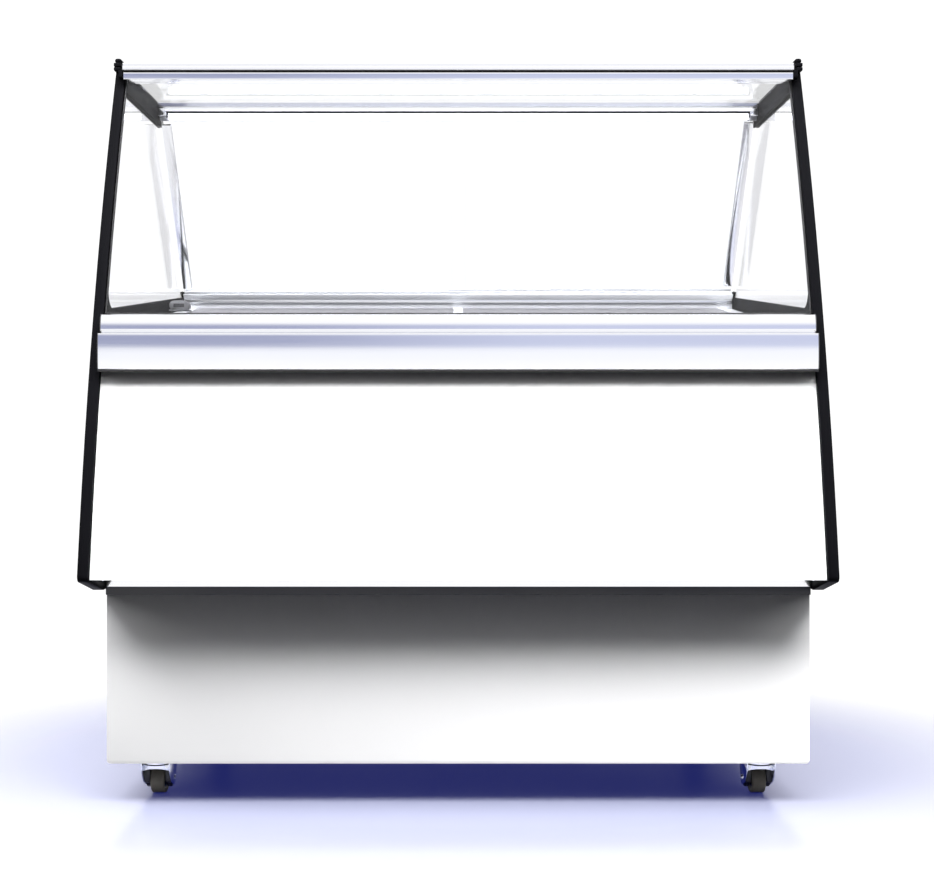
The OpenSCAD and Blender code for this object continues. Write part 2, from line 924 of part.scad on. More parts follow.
module rear_sill() {
    p0 = loc(0, -track_base);
    p1 = loc(bank, -track_base);
    color("silver")
        across(-mid_x, mid_x)
            polygon([[p0.x, sill_h], p0, p1, [p1.x + 7, sill_h + worktop_t], [p1.x + 7, sill_h]]);
}

module worktop() {
    d0 = loc(bank, -track_base).x + 7;
    z1 = sill_h + worktop_t;
    color("silver")
        across(-mid_x, mid_x) {
            translate([d0, sill_h])
                square([case_d - d0, worktop_t]);
            translate([case_d - worktop_t, z1 - worktop_lip])
                square([worktop_t, worktop_lip]);
        }
}

// One sliding door, drawn from its outer edge at the end panel inwards.
module door(bank_no, side) {
    n = door_n[bank_no];
    x0 = side < 0 ? -mid_x + 1.5 : mid_x - 1.5 - door_w;
    color("lightcyan", 0.35)
        across(x0, x0 + door_w)
            leaning([n - door_t / 2, n + door_t / 2], [door_foot, door_head]);
}

module grip(bank_no, side) {
    n = door_n[bank_no];
    edge = mid_x - 0.5;
    color("silver")
        difference() {
            across(side < 0 ? -edge : edge - grip_w, side < 0 ? -edge + grip_w : edge)
                leaning([n - grip_t / 2, n + grip_t / 2], [20, track_top_s - 28]);
            across(side < 0 ? -edge + 1 : edge - grip_w - 1, side < 0 ? -edge + grip_w + 1 : edge - 1)
                leaning([n - door_t / 2, n + door_t / 2], [10, track_top_s]);
        }
}

// ---------- deck ----------

module deck_slab(d0, d1, top, low) {
    polygon([[d0, deck_z(d0) + top], [d0, deck_z(d0) + low], [d1, deck_z(d1) + low], [d1, deck_z(d1) + top]]);
}

module deck_pans() {
    x0 = rib_x + pan_gap;
    f0 = well_d0 + 2;
    f1 = well_d1 - 2;
    slots = 10;
    pitch = (pan_x - x0 - 60) / slots;
    color("dimgray")
        both_ends()
            difference() {
                union() {
                    across(x0, pan_x)
                        deck_slab(deck_d0, deck_d1, 0, -pan_t);
                    across(base_x + 1, well_x - 2) {
                        deck_slab(f0, f0 + pan_t, 0, -pan_flange);
                        deck_slab(f1 - pan_t, f1, 0, -pan_flange);
                    }
                    across(base_x + 1, base_x + 1 + pan_t)
                        deck_slab(f0, f1, 0, -pan_flange);
                    across(well_x - 2 - pan_t, well_x - 2)
                        deck_slab(f0, f1, 0, -pan_flange);
                }
                for (i = [0:slots - 1], d = [deck_d1 - 46, deck_d0 + 34])
                    box([x0 + 34 + i * pitch, front + d, deck_z0 - 60],
                        [x0 + 34 + i * pitch + 0.6 * pitch, front + d + 6, sill_h]);
            }
}

module deck_rail() {
    color("white") {
        across(-rib_x, rib_x)
            deck_slab(deck_d0, deck_d1, 0, -pan_t);
        across(-rib_x, rib_x)
            deck_slab(well_d0 + seat, well_d1 - seat, 0, -pan_t - 14);
        across(-base_x, base_x)
            deck_slab(well_d0 + seat, well_d1 - seat, -pan_t, -pan_t - 14);
    }
}

module thermometer() {
    z0 = deck_z(case_d * 0.695) + 1;
    y0 = front + case_d * 0.665;
    color("slategray")
        difference() {
            box([-in_x, y0, z0], [-in_x + 43, y0 + 24, z0 + 22]);
            translate([-in_x + 26, y0, z0 + 11])
                rod_y(-1, 2, 7);
        }
}

module led_housing() {
    d0 = head.x + 4;
    x = mid_x - led_end;
    color("gainsboro") {
        across(-x, x)
            translate([d0, led_top - led_t])
                square([led_depth, led_t]);
        both_ends()
            across(x, mid_x)
                translate([d0, led_top - led_t])
                    square([7, led_t + 8]);
    }
}

module led_diffuser() {
    x = mid_x - led_end - 5;
    color("lavender")
        across(-x, x)
            translate([head.x + 4.5, led_top - led_t - led_depth])
                square([led_depth - 1, led_depth]);
}

// ---------- cooling ----------

module evaporator_coil() {
    y0 = riser_at.y - 40;
    y1 = riser_at.y + 40;
    x = evap_tube_x - 12;
    tubes = 4;
    color("silver") {
        for (sx = [-1, 1])
            box([sx * x - 2, y0, well_floor], [sx * x + 2, y1, well_floor + 190]);
        box([-x, y0 + 4, well_floor + 20], [x, y1 - 4, well_floor + 185]);
        for (i = [0:tubes - 1])
            translate([0, riser_at.y, evap_tube_z + i * 38])
                rod_x(-evap_tube_x, evap_tube_x, 5);
    }
}

module fan_rotor(r, y0, depth, blades) {
    hub = r * 0.3;
    union() {
        difference() {
            rod_y(y0, y0 + depth, hub);
            rod_y(y0 - 1, y0 + depth + 1, shaft_r + run_gap);
        }
        for (i = [0:blades - 1])
            rotate([0, i * 360 / blades, 0])
                translate([hub - 2, y0 + depth / 2, 0])
                    rotate([28, 0, 0])
                        box([0, -0.8, -r * 0.19], [r - hub - 4, 0.8, r * 0.19]);
    }
}

module fan_panel() {
    top = well_floor + 270;
    ring = evap_fan_r + 4;
    color("whitesmoke")
        translate([0, evap_fan_y, 0]) {
            difference() {
                box([-well_x, 0, well_floor], [well_x, 2, top]);
                translate([0, 0, evap_fan_z])
                    rod_y(-1, 3, ring);
            }
            translate([0, 0, evap_fan_z]) {
                for (a = [45, 135, 225, 315])
                    rotate([0, a, 0])
                        box([20, 26, -4], [ring + 10, 30, 4]);
                for (a = [45, 135, 225, 315])
                    rotate([0, a, 0])
                        box([ring + 4, 1, -4], [ring + 10, 30, 4]);
                rod_y(24, 66, 30);
                rod_y(-18, 26, shaft_r);
            }
        }
}

module evaporator_fan() {
    color("black")
        translate([0, evap_fan_y, evap_fan_z])
            fan_rotor(evap_fan_r, -14, 28, 5);
}

module compressor() {
    color("black")
        translate([comp_at.x, comp_at.y, floor_pan]) {
            translate([0, 0, 12])
                cylinder(h = 120, r = comp_r);
            intersection() {
                translate([0, 0, 132])
                    sphere(comp_r);
                translate([0, 0, 132])
                    cylinder(h = 46, r = comp_r);
            }
            for (sx = [-1, 1], sy = [-1, 1])
                translate([sx * (comp_r - 4), sy * (comp_r - 4), 0])
                    cylinder(h = 16, r = 11);
            box([-comp_r - 8, -comp_r - 8, 12], [comp_r + 8, comp_r + 8, 16]);
            translate([-comp_r - 10, 0, 70])
                box([-14, -30, -30], [24, 30, 30]);
        }
}

module condenser_coil() {
    w = 2 * cond_fan_r + 40;
    y0 = cond_fan_y + 52;
    color("silver")
        translate([cond_x, 0, 0]) {
            box([-w / 2, y0, floor_pan], [w / 2, y0 + 44, cond_z + cond_fan_r + 16]);
            for (i = [0:5])
                translate([0, y0 + 22, cond_tube_z + i * cond_tube_pitch])
                    rod_x(-cond_tube_x, cond_tube_x, 4.5);
        }
}

module fan_shroud() {
    w = 2 * cond_fan_r + 30;
    y1 = cond_fan_y + 52;
    ring = cond_fan_r + 4;
    color("dimgray")
        difference() {
            union() {
                box([cond_x - w / 2, y1 - 2, floor_pan], [cond_x + w / 2, y1, cond_z + ring + 8]);
                translate([cond_x, 0, cond_z]) {
                    difference() {
                        rod_y(cond_fan_y - 14, y1, ring + 2);
                        rod_y(cond_fan_y - 15, y1 + 1, ring);
                    }
                    for (a = [45, 135, 225, 315])
                        rotate([0, a, 0])
                            box([15, cond_fan_y - 40, -4], [ring + 2, cond_fan_y - 36, 4]);
                    for (a = [45, 135, 225, 315])
                        rotate([0, a, 0])
                            box([ring, cond_fan_y - 40, -4], [ring + 2, cond_fan_y - 10, 4]);
                    rod_y(cond_fan_y - 80, cond_fan_y - 36, 32);
                    rod_y(cond_fan_y - 40, cond_fan_y + 20, shaft_r);
                }
            }
            translate([cond_x, 0, cond_z])
                rod_y(y1 - 3, y1 + 1, ring);
        }
}

module condenser_fan() {
    color("black")
        translate([cond_x, cond_fan_y, cond_z])
            fan_rotor(cond_fan_r, -15, 30, 5);
}

// A pipe through a list of corner points, with a ball at each corner.
module pipe(points, r) {
    for (i = [0:len(points) - 2]) {
        a = points[i];
        v = points[i + 1] - a;
        translate(a) {
            rotate([0, acos(v.z / norm(v)), atan2(v.y, v.x)])
                cylinder(h = norm(v), r = r);
            if (i > 0)
                sphere(r);
        }
    }
}

module refrigerant_lines() {
    hot_z = cond_tube_z + 2 * cond_tube_pitch;
    cold_z = hot_z + 12;
    hot_y = comp_at.y - comp_r - 34;
    hot_x = cond_x + cond_tube_x + 40;
    cond_y = cond_fan_y + 74;
    color("peru") {
        pipe([[comp_at.x, comp_at.y - comp_r, hot_z], [comp_at.x, hot_y, hot_z], [hot_x, hot_y, hot_z],
              [hot_x, cond_y, hot_z], [cond_x + cond_tube_x, cond_y, hot_z]], 4);
        pipe([[comp_at.x + comp_r, comp_at.y, cold_z], [riser_at.x, comp_at.y, cold_z],
              [riser_at.x, riser_at.y, cold_z], [riser_at.x, riser_at.y, evap_tube_z],
              [evap_tube_x, riser_at.y, evap_tube_z]], 4);
        translate([riser_at.x, riser_at.y, body_h])
            cylinder(h = well_floor - body_h, r = 8);
    }
}

// ---------- controls ----------

module control_panel() {
    y = front + body_rear;
    color("dimgray")
        difference() {
            union() {
                box([panel_at.x - panel_size.x / 2, y, panel_at.y - panel_size.y / 2],
                    [panel_at.x + panel_size.x / 2, y + 4, panel_at.y + panel_size.y / 2]);
                control_pocket(0);
            }
            for (dx = rocker_x)
                translate([panel_at.x + dx, y, panel_at.y])
                    box([-rocker_size.x / 2 - 0.5, -14, -rocker_size.y / 2 - 0.5],
                        [rocker_size.x / 2 + 0.5, 6, rocker_size.y / 2 + 0.5]);
            for (dx = button_x)
                translate([panel_at.x + dx, y, panel_at.y - 16])
                    rod_y(-6, 6, button_r + seat);
            translate([panel_at.x - 8, y + 3, panel_at.y + 2])
                box([0, 0, 0], [92, 2, 22]);
        }
    color("dimgray")
        for (dx = rocker_x)
            translate([panel_at.x + dx, y - 4, panel_at.y])
                rod_x(-rocker_size.x / 2 - 1, rocker_size.x / 2 + 1, 1.5);
}

module rocker(dx, tint) {
    y = front + body_rear;
    tip = rocker_size.y / 2 - 1.5;
    color(tint)
        translate([panel_at.x + dx, y - 4, panel_at.y])
            difference() {
                translate([-rocker_size.x / 2, 0, 0])
                    rotate([90, 0, 90])
                        linear_extrude(rocker_size.x)
                            polygon([[-4, -5], [-4, 5], [6, tip], [13, tip - 1.5],
                                     [9.5, 0], [9.5, -tip], [6, -tip]]);
                rod_x(-20, 20, 1.5 + run_gap);
            }
}

module button(dx) {
    color("lightgray")
        translate([panel_at.x + dx, front + body_rear, panel_at.y - 16])
            rod_y(-4, 5.5, button_r);
}

module cord_gland() {
    y = front + body_rear + sheet;
    color("black")
        translate([gland_at.x, y, gland_at.y])
            difference() {
                union() {
                    rod_y(-8, 0, gland_bore_r + 5);
                    rotate([-90, 0, 0])
                        cylinder(h = 6, r = gland_bore_r + 8, $fn = 6);
                    rod_y(5, 13, gland_bore_r + 5.5);
                }
                rod_y(-9, 14, gland_bore_r);
            }
}

module screw_back(x, z, y, r) {
    translate([x, y, z])
        rod_y(0, r * 0.5, r);
}

module screws() {
    y = front + body_rear;
    color("lightgray") {
        for (sx = [-1, 1], z = [plinth_bottom + 22, body_h - 22])
            screw_back(sx * (mid_x - 24), z, y + sheet, 5);
        for (sx = [-1, 1], z = [body_h + 40, sill_h - 60])
            screw_back(sx * (mid_x - 20), z, y, 5);
        for (sx = [-1, 1], sz = [-1, 1]) {
            corner = panel_at + [sx * (panel_size.x / 2 - 5), sz * (panel_size.y / 2 - 5)];
            screw_back(corner.x, corner.y, y + 4, 2.5);
        }
        for (p = caster_places, sx = [-1, 1], sy = [-1, 1])
            translate([p.x + sx * 30, p.y + sy * 23, caster_h - plate_t - 4])
                cylinder(h = 4, r = 5, $fn = 6);
    }
}

base_frame();
plinth_panel();
plinth_band();
rear_grille();
front_panel();
rear_panel();
insulation();
well_liner();
end_panels();
side_frames();
side_glasses();
bumper_upper();
bumper_lower();
roof_bar();
roof_glass();
rear_header();
door_tracks();
rear_sill();
worktop();
deck_pans();
deck_rail();
led_housing();
led_diffuser();
thermometer();
hinge_brackets();
evaporator_coil();
fan_panel();
drain_pipe();
compressor();
condenser_coil();
fan_shroud();
refrigerant_lines();
control_panel();
cord_gland();
screws();
caster_plates();
front_glass();
front_glass_clamp();
front_glass_seal();
door(0, -1);  // door_left
door(1, 1);  // door_right
grip(0, -1);  // grip_left
grip(1, 1);  // grip_right
condenser_fan();
evaporator_fan();
rocker(rocker_x[0], "darkred");  // power_switch
rocker(rocker_x[1], "black");  // light_switch
button(button_x[0]);  // button_set
button(button_x[1]);  // button_up
button(button_x[2]);  // button_down
fork(caster_places[0]);  // fork_front_left
fork(caster_places[1]);  // fork_front_right
fork(caster_places[2]);  // fork_rear_left
fork(caster_places[3]);  // fork_rear_right
wheel(caster_places[0]);  // wheel_front_left
wheel(caster_places[1]);  // wheel_front_right
wheel(caster_places[2]);  // wheel_rear_left
wheel(caster_places[3]);  // wheel_rear_right
brake(caster_places[0]);  // brake_left
brake(caster_places[1]);  // brake_right
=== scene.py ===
# Refrigerated deli case: finishes, detailed pieces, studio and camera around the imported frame.
import json
import math

import bmesh
import bpy
from mathutils import Matrix, Vector

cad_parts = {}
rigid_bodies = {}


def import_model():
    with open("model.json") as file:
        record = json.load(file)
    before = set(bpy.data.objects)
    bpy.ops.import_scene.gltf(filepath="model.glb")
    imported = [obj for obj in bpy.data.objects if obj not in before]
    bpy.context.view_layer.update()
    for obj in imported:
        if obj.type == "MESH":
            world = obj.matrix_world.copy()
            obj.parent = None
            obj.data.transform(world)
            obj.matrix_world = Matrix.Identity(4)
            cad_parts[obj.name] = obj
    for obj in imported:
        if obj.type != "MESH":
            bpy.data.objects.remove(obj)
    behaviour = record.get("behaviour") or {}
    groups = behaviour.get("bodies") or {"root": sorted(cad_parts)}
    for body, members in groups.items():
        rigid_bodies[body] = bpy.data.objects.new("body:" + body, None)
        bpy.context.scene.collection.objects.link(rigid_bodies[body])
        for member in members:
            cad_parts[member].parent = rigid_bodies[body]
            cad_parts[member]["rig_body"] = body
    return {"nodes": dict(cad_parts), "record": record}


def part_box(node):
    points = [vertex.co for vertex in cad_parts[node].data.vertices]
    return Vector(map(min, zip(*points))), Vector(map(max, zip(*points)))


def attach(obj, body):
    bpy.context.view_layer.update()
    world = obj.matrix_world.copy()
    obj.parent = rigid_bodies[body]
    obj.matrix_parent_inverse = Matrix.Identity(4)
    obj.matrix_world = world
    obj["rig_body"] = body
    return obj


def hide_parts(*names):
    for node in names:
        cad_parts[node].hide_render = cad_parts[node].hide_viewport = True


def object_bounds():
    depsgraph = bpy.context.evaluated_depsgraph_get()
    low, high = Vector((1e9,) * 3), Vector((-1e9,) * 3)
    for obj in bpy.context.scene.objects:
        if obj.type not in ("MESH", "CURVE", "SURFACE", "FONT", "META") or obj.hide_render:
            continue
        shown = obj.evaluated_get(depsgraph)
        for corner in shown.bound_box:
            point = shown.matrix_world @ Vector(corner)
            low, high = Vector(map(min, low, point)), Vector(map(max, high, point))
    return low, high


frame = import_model()
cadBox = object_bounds()
nodes = frame["nodes"]
print("frame loaded:", len(nodes), "nodes")

# camera and studio

view = {
    "eye": (0.0, -2.51, 0.67),
    "focalMm": 50.0,
    "sensorMm": 36.0,
    "shiftX": 0.0094,
    "shiftY": -0.0353,
}

studio = {
    "floorSize": 60.0,
    # floor: a painted shadow round the case. Near it the floor is dim with a navy glow, and it fades to
    # white emission in an oval further out
    "floorShadeColor": (0.26, 0.27, 0.33),
    "floorBounce": (0.010, 0.010, 0.011),
    "floorShadeGlow": (0.002, 0.006, 0.106),
    "floorRoughness": 0.15,
    "shadowOval": (0.62, 1.0, 1.0),
    "shadowFadeFrom": 0.45,
    "shadowFadeTo": 0.86,
    "keyAt": (-0.25, -1.74, 3.51),
    "keyAim": (0.0, -0.4, 0.5),
    "keySize": (5.8, 1.8),
    "keyPower": 640.0,
    "fillAt": (0.0, -3.1, 2.4),
    "fillSize": (5.0, 1.6),
    "fillPower": 5.0,
    "sideAt": (3.0, -1.5, 2.5),
    "sideAim": (0.0, -0.3, 0.4),
    "sideSize": (2.0, 2.0),
    "sidePower": 42.0,
    "backAt": (0.0, 3.2, 2.6),
    "backAim": (0.0, 0.2, 0.6),
    "backSize": (4.5, 2.2),
    "backPower": 60.0,
    "ambient": (0.012, 0.012, 0.014),
    "skyHigh": (1.12, 1.12, 1.12),
    "skyMid": (0.36, 0.385, 0.56),
    "skyMidRight": (0.62, 0.66, 0.86),
    "skyLow": (1.05, 1.06, 1.1),
    "skyLowTo": 0.09,
    "skyMidFrom": 0.115,
    "skyMidTo": 0.24,
    "skyHighFrom": 0.36,
    "paleFrom": -0.16,
    "paleTo": 0.06,
    "backdrop": 1.1,
}


def linked(name, data):
    obj = bpy.data.objects.new(name, data)
    bpy.context.scene.collection.objects.link(obj)
    return obj


def makeCamera():
    data = bpy.data.cameras.new("camera")
    data.lens = view["focalMm"]
    data.sensor_width = view["sensorMm"]
    data.sensor_fit = "HORIZONTAL"
    data.shift_x = view["shiftX"]
    data.shift_y = view["shiftY"]
    data.clip_end = 60.0
    camera = linked("camera", data)
    camera.location = view["eye"]
    camera.rotation_euler = (math.radians(90), 0.0, 0.0)
    bpy.context.scene.camera = camera


def areaLight(name, at, aim, size, power):
    data = bpy.data.lights.new(name, "AREA")
    data.shape = "RECTANGLE"
    data.size, data.size_y = size
    data.energy = power
    lamp = linked(name, data)
    lamp.location = at
    lamp.rotation_euler = (Vector(aim) - Vector(at)).to_track_quat("-Z", "Y").to_euler()
    lamp.visible_camera = False
    lamp.visible_glossy = False
    lamp.visible_transmission = False


def worldGround(tree, color, strength=1.0):
    ground = tree.nodes.new("ShaderNodeBackground")
    ground.inputs["Color"].default_value = (*color, 1)
    ground.inputs["Strength"].default_value = strength
    return ground


def chosen(tree, chooser, otherwise, picked):
    mix = tree.nodes.new("ShaderNodeMixShader")
    tree.links.new(chooser, mix.inputs[0])
    tree.links.new(otherwise.outputs[0], mix.inputs[1])
    tree.links.new(picked.outputs[0], mix.inputs[2])
    return mix


def skyRamp(tree, split, middle):
    ramp = tree.nodes.new("ShaderNodeValToRGB")
    tree.links.new(split.outputs["Z"], ramp.inputs["Fac"])
    stops = ramp.color_ramp.elements
    stops[1].position = studio["skyLowTo"]
    for stop in stops:
        stop.color = (*studio["skyLow"], 1)
    for place, shade in (("skyMidFrom", middle), ("skyMidTo", middle), ("skyHighFrom", "skyHigh")):
        stop = stops.new(studio[place])
        stop.color = (*studio[shade], 1)
    return ramp


def makeStudio():
    world = bpy.data.worlds.new("studio")
    bpy.context.scene.world = world
    world.use_nodes = True
    tree = world.node_tree
    tree.nodes.clear()
    out = tree.nodes.new("ShaderNodeOutputWorld")
    coord = tree.nodes.new("ShaderNodeTexCoord")
    split = tree.nodes.new("ShaderNodeSeparateXYZ")
    tree.links.new(coord.outputs["Generated"], split.inputs[0])
    ramp = skyRamp(tree, split, "skyMid")
    paler = skyRamp(tree, split, "skyMidRight")
    sideways = shaderNode(tree, "ShaderNodeMapRange")
    sideways.inputs["From Min"].default_value = studio["paleFrom"]
    sideways.inputs["From Max"].default_value = studio["paleTo"]
    tree.links.new(split.outputs["X"], sideways.inputs["Value"])
    # the soft grey-blue band of the reflections is paler towards the right
    reflected = worldGround(tree, (1, 1, 1))
    tree.links.new(tinted(tree, sideways.outputs[0], ramp.outputs["Color"], paler.outputs["Color"]),
                   reflected.inputs["Color"])
    ambient = worldGround(tree, studio["ambient"])
    backdrop = worldGround(tree, (1, 1, 1), studio["backdrop"])
    # bare view and clear glass show the backdrop, reflections the ramp, soft light a dim ambient
    path = tree.nodes.new("ShaderNodeLightPath")
    behind = shaderNode(tree, "ShaderNodeMath", operation="GREATER_THAN")
    tree.links.new(split.outputs["Y"], behind.inputs[0])
    behind.inputs[1].default_value = 0.0
    mirrored = chosen(tree, behind.outputs[0], reflected, backdrop)
    seen = chosen(tree, path.outputs["Glossy Depth"], backdrop, mirrored)
    final = chosen(tree, path.outputs["Diffuse Depth"], seen, ambient)
    tree.links.new(final.outputs[0], out.inputs["Surface"])
    areaLight("keyLight", studio["keyAt"], studio["keyAim"], studio["keySize"], studio["keyPower"])
    areaLight("fillLight", studio["fillAt"], studio["keyAim"], studio["fillSize"], studio["fillPower"])
    across, *rest = studio["sideAt"]
    for side in (-1, 1):
        at = (side * across, *rest)
        areaLight("sideLight", at, studio["sideAim"], studio["sideSize"], studio["sidePower"])
    areaLight("backLight", studio["backAt"], studio["backAim"], studio["backSize"], studio["backPower"])
    bpy.context.scene.view_settings.view_transform = "Standard"


def shaderNode(tree, kind, **values):
    node = tree.nodes.new(kind)
    for key, value in values.items():
        setattr(node, key, value)
    return node


def startMaterial(name):
    mat = bpy.data.materials.new(name)
    mat.use_nodes = True
    tree = mat.node_tree
    return mat, tree, tree.nodes["Principled BSDF"], shaderNode(tree, "ShaderNodeTexCoord")


def noiseOn(tree, coord, scale, stretch=(1, 1, 1), detail=3.0):
    mapping = shaderNode(tree, "ShaderNodeMapping")
    mapping.inputs["Scale"].default_value = stretch
    noise = shaderNode(tree, "ShaderNodeTexNoise")
    noise.inputs["Scale"].default_value = scale
    noise.inputs["Detail"].default_value = detail
    tree.links.new(coord.outputs["Object"], mapping.inputs["Vector"])
    tree.links.new(mapping.outputs["Vector"], noise.inputs["Vector"])
    return noise.outputs["Fac"]


def spread(tree, source, low, high):
    node = shaderNode(tree, "ShaderNodeMapRange")
    node.inputs["From Min"].default_value = 0.3
    node.inputs["From Max"].default_value = 0.7
    node.inputs["To Min"].default_value = low
    node.inputs["To Max"].default_value = high
    tree.links.new(source, node.inputs["Value"])
    return node.outputs["Result"]


def tinted(tree, source, colorA, colorB):
    mix = shaderNode(tree, "ShaderNodeMix", data_type="RGBA")
    for socket, color in ((mix.inputs[6], colorA), (mix.inputs[7], colorB)):
        if isinstance(color, bpy.types.NodeSocket):
            tree.links.new(color, socket)
        else:
            socket.default_value = (*color, 1)
    tree.links.new(source, mix.inputs[0])
    return mix.outputs[2]


def bumpFrom(tree, shader, source, strength, distance):
    bump = shaderNode(tree, "ShaderNodeBump")
    bump.inputs["Strength"].default_value = strength
    bump.inputs["Distance"].default_value = distance
    tree.links.new(source, bump.inputs["Height"])
    tree.links.new(bump.outputs["Normal"], shader.inputs["Normal"])


def scaled(color, k):
    return tuple(min(1.0, c * k) for c in color)


def coated(name, color, rough=0.4, grain=900.0, depth=0.00008, coat=0.0, strength=0.2, vary=0.015,
           specular=0.5):
    mat, tree, shader, coord = startMaterial(name)
    broad = noiseOn(tree, coord, 5.0)
    shade = tinted(tree, broad, scaled(color, 1 - vary), scaled(color, 1 + vary))
    tree.links.new(shade, shader.inputs["Base Color"])
    tree.links.new(spread(tree, broad, rough * 0.88, rough * 1.12), shader.inputs["Roughness"])
    bumpFrom(tree, shader, noiseOn(tree, coord, grain, detail=2.0), strength, depth)
    shader.inputs["Coat Weight"].default_value = coat
    shader.inputs["Coat Roughness"].default_value = 0.12
    shader.inputs["Specular IOR Level"].default_value = specular
    return mat


def metal(name, color, rough=0.25, streak=(2, 400, 400), streakScale=3.0, depth=0.00002, aniso=0.4,
          vary=0.03):
    mat, tree, shader, coord = startMaterial(name)
    grain = noiseOn(tree, coord, streakScale, streak, detail=4.0)
    shade = tinted(tree, noiseOn(tree, coord, 4.0), scaled(color, 1 - vary), scaled(color, 1 + vary))
    tree.links.new(shade, shader.inputs["Base Color"])
    tree.links.new(spread(tree, grain, rough * 0.8, rough * 1.2), shader.inputs["Roughness"])
    bumpFrom(tree, shader, grain, 0.15, depth)
    shader.inputs["Metallic"].default_value = 1.0
    shader.inputs["Anisotropic"].default_value = aniso
    return mat


def glassPane(name, color, clear=(0.97, 0.975, 0.985)):
    # lamps shine straight through the pane, the eye sees real glass
    mat, tree, shader, coord = startMaterial(name)
    shade = tinted(tree, noiseOn(tree, coord, 3.0), scaled(color, 0.996), color)
    tree.links.new(shade, shader.inputs["Base Color"])
    shader.inputs["Roughness"].default_value = 0.0
    shader.inputs["IOR"].default_value = 1.28
    shader.inputs["Transmission Weight"].default_value = 1.0
    through = shaderNode(tree, "ShaderNodeBsdfTransparent")
    through.inputs["Color"].default_value = (*clear, 1)
    path = shaderNode(tree, "ShaderNodeLightPath")
    mix = chosen(tree, path.outputs["Is Shadow Ray"], shader, through)
    tree.links.new(mix.outputs[0], tree.nodes["Material Output"].inputs["Surface"])
    return mat


def glowing(name, color, strength):
    mat, tree, shader, coord = startMaterial(name)
    shade = tinted(tree, noiseOn(tree, coord, 40.0), scaled(color, 0.97), color)
    tree.links.new(shade, shader.inputs["Base Color"])
    shader.inputs["Roughness"].default_value = 0.35
    shader.inputs["Emission Color"].default_value = (*color, 1)
    shader.inputs["Emission Strength"].default_value = strength
    return mat


def rubbed(name, color, dust, rough=0.7, grain=500.0, depth=0.0003):
    # rubber: a fine mottle between its own colour and a dustier one
    mat, tree, shader, coord = startMaterial(name)
    mottle = noiseOn(tree, coord, 60.0, detail=5.0)
    tree.links.new(tinted(tree, spread(tree, mottle, 0.0, 1.0), color, dust), shader.inputs["Base Color"])
    tree.links.new(spread(tree, mottle, rough * 0.85, rough * 1.1), shader.inputs["Roughness"])
    bumpFrom(tree, shader, noiseOn(tree, coord, grain, detail=3.0), 0.5, depth)
    return mat


def makeMaterials():
    white = (0.87, 0.87, 0.88)
    plain = {"streak": (1, 1, 1), "streakScale": 40.0, "aniso": 0.0}
    return {
        "frame_black": coated("frameBlack", (0.004, 0.004, 0.005), rough=0.5, specular=0.015, vary=0.08),
        "panel_white": coated("panelWhite", white, rough=0.34, specular=0.12),
        "end_white": coated("endWhite", white, rough=0.38, grain=600.0, specular=0.35),
        "steel_black": coated("steelBlack", (0.03, 0.03, 0.034), rough=0.42, vary=0.12),
        # a dark band along the top of the plinth, under the overhang
        "band_dark": coated("bandDark", (0.055, 0.056, 0.068), rough=0.42, vary=0.06),
        "grille_paint": coated("grillePaint", (0.66, 0.67, 0.69), rough=0.24),
        "foam": coated("foam", (0.78, 0.64, 0.34), rough=0.9, grain=260.0, depth=0.0006, strength=0.8,
                       vary=0.1),
        "liner_white": coated("linerWhite", (0.85, 0.86, 0.89), rough=0.25, coat=0.3),
        "side_glass": glassPane("sideGlass", (0.955, 0.955, 0.965)),
        "clear_glass": glassPane("clearGlass", (0.985, 0.988, 0.992)),
        "profile_aluminium": metal("profileAluminium", (0.90, 0.905, 0.93), rough=0.13, depth=0.000004,
                                   aniso=0.2),
        "steel_brushed": metal("steelBrushed", (0.93, 0.935, 0.94), rough=0.3, depth=0.00001),
        "deck_grey": coated("deckGrey", (0.15, 0.148, 0.16), rough=0.35, grain=500.0, vary=0.05),
        "led_trim": metal("ledTrim", (0.82, 0.83, 0.87), rough=0.2, depth=0.000004),
        "led_light": glowing("ledLight", (0.86, 0.87, 1.0), 6.0),
        "thermometer_grey": coated("thermometerGrey", (0.17, 0.17, 0.18), rough=0.45, grain=1400.0,
                                   vary=0.06),
        "coil_fins": metal("coilFins", (0.75, 0.76, 0.78), rough=0.35, streak=(40, 40, 2)),
        "drain_plastic": coated("drainPlastic", (0.5, 0.5, 0.51), rough=0.45, vary=0.05),
        "shroud_metal": metal("shroudMetal", (0.52, 0.53, 0.54), rough=0.45, vary=0.08, **plain),
        "copper_pipe": metal("copperPipe", (0.8, 0.42, 0.27), rough=0.25, vary=0.15, **plain),
        "control_plastic": coated("controlPlastic", (0.035, 0.035, 0.038), rough=0.5, grain=1600.0,
                                  strength=0.5),
        "gland_black": coated("glandBlack", (0.02, 0.02, 0.02), rough=0.55, vary=0.1),
        "zinc": metal("zinc", (0.86, 0.87, 0.9), rough=0.12, vary=0.04, **plain),
        "seal_rubber": rubbed("sealRubber", (0.015, 0.015, 0.016), (0.03, 0.03, 0.032)),
        "fan_black": coated("fanBlack", (0.022, 0.022, 0.024), rough=0.45, vary=0.1),
        "switch_red": coated("switchRed", (0.36, 0.015, 0.02), rough=0.25, coat=0.4),
        "switch_black": coated("switchBlack", (0.02, 0.02, 0.022), rough=0.3, coat=0.3),
        "button_grey": coated("buttonGrey", (0.5, 0.51, 0.53), rough=0.5, vary=0.03),
        "tread_grey": rubbed("treadGrey", (0.50, 0.47, 0.40), (0.58, 0.55, 0.48)),
    }


# mesh helpers: every piece is built where it belongs, with its object at the origin

def fromBmesh(name, bm):
    mesh = bpy.data.meshes.new(name)
    bm.to_mesh(mesh)
    bm.free()
    return linked(name, mesh)


def newPiece(name, bm):
    bmesh.ops.remove_doubles(bm, verts=bm.verts, dist=1e-7)
    bmesh.ops.recalc_face_normals(bm, faces=bm.faces)
    return fromBmesh(name, bm)


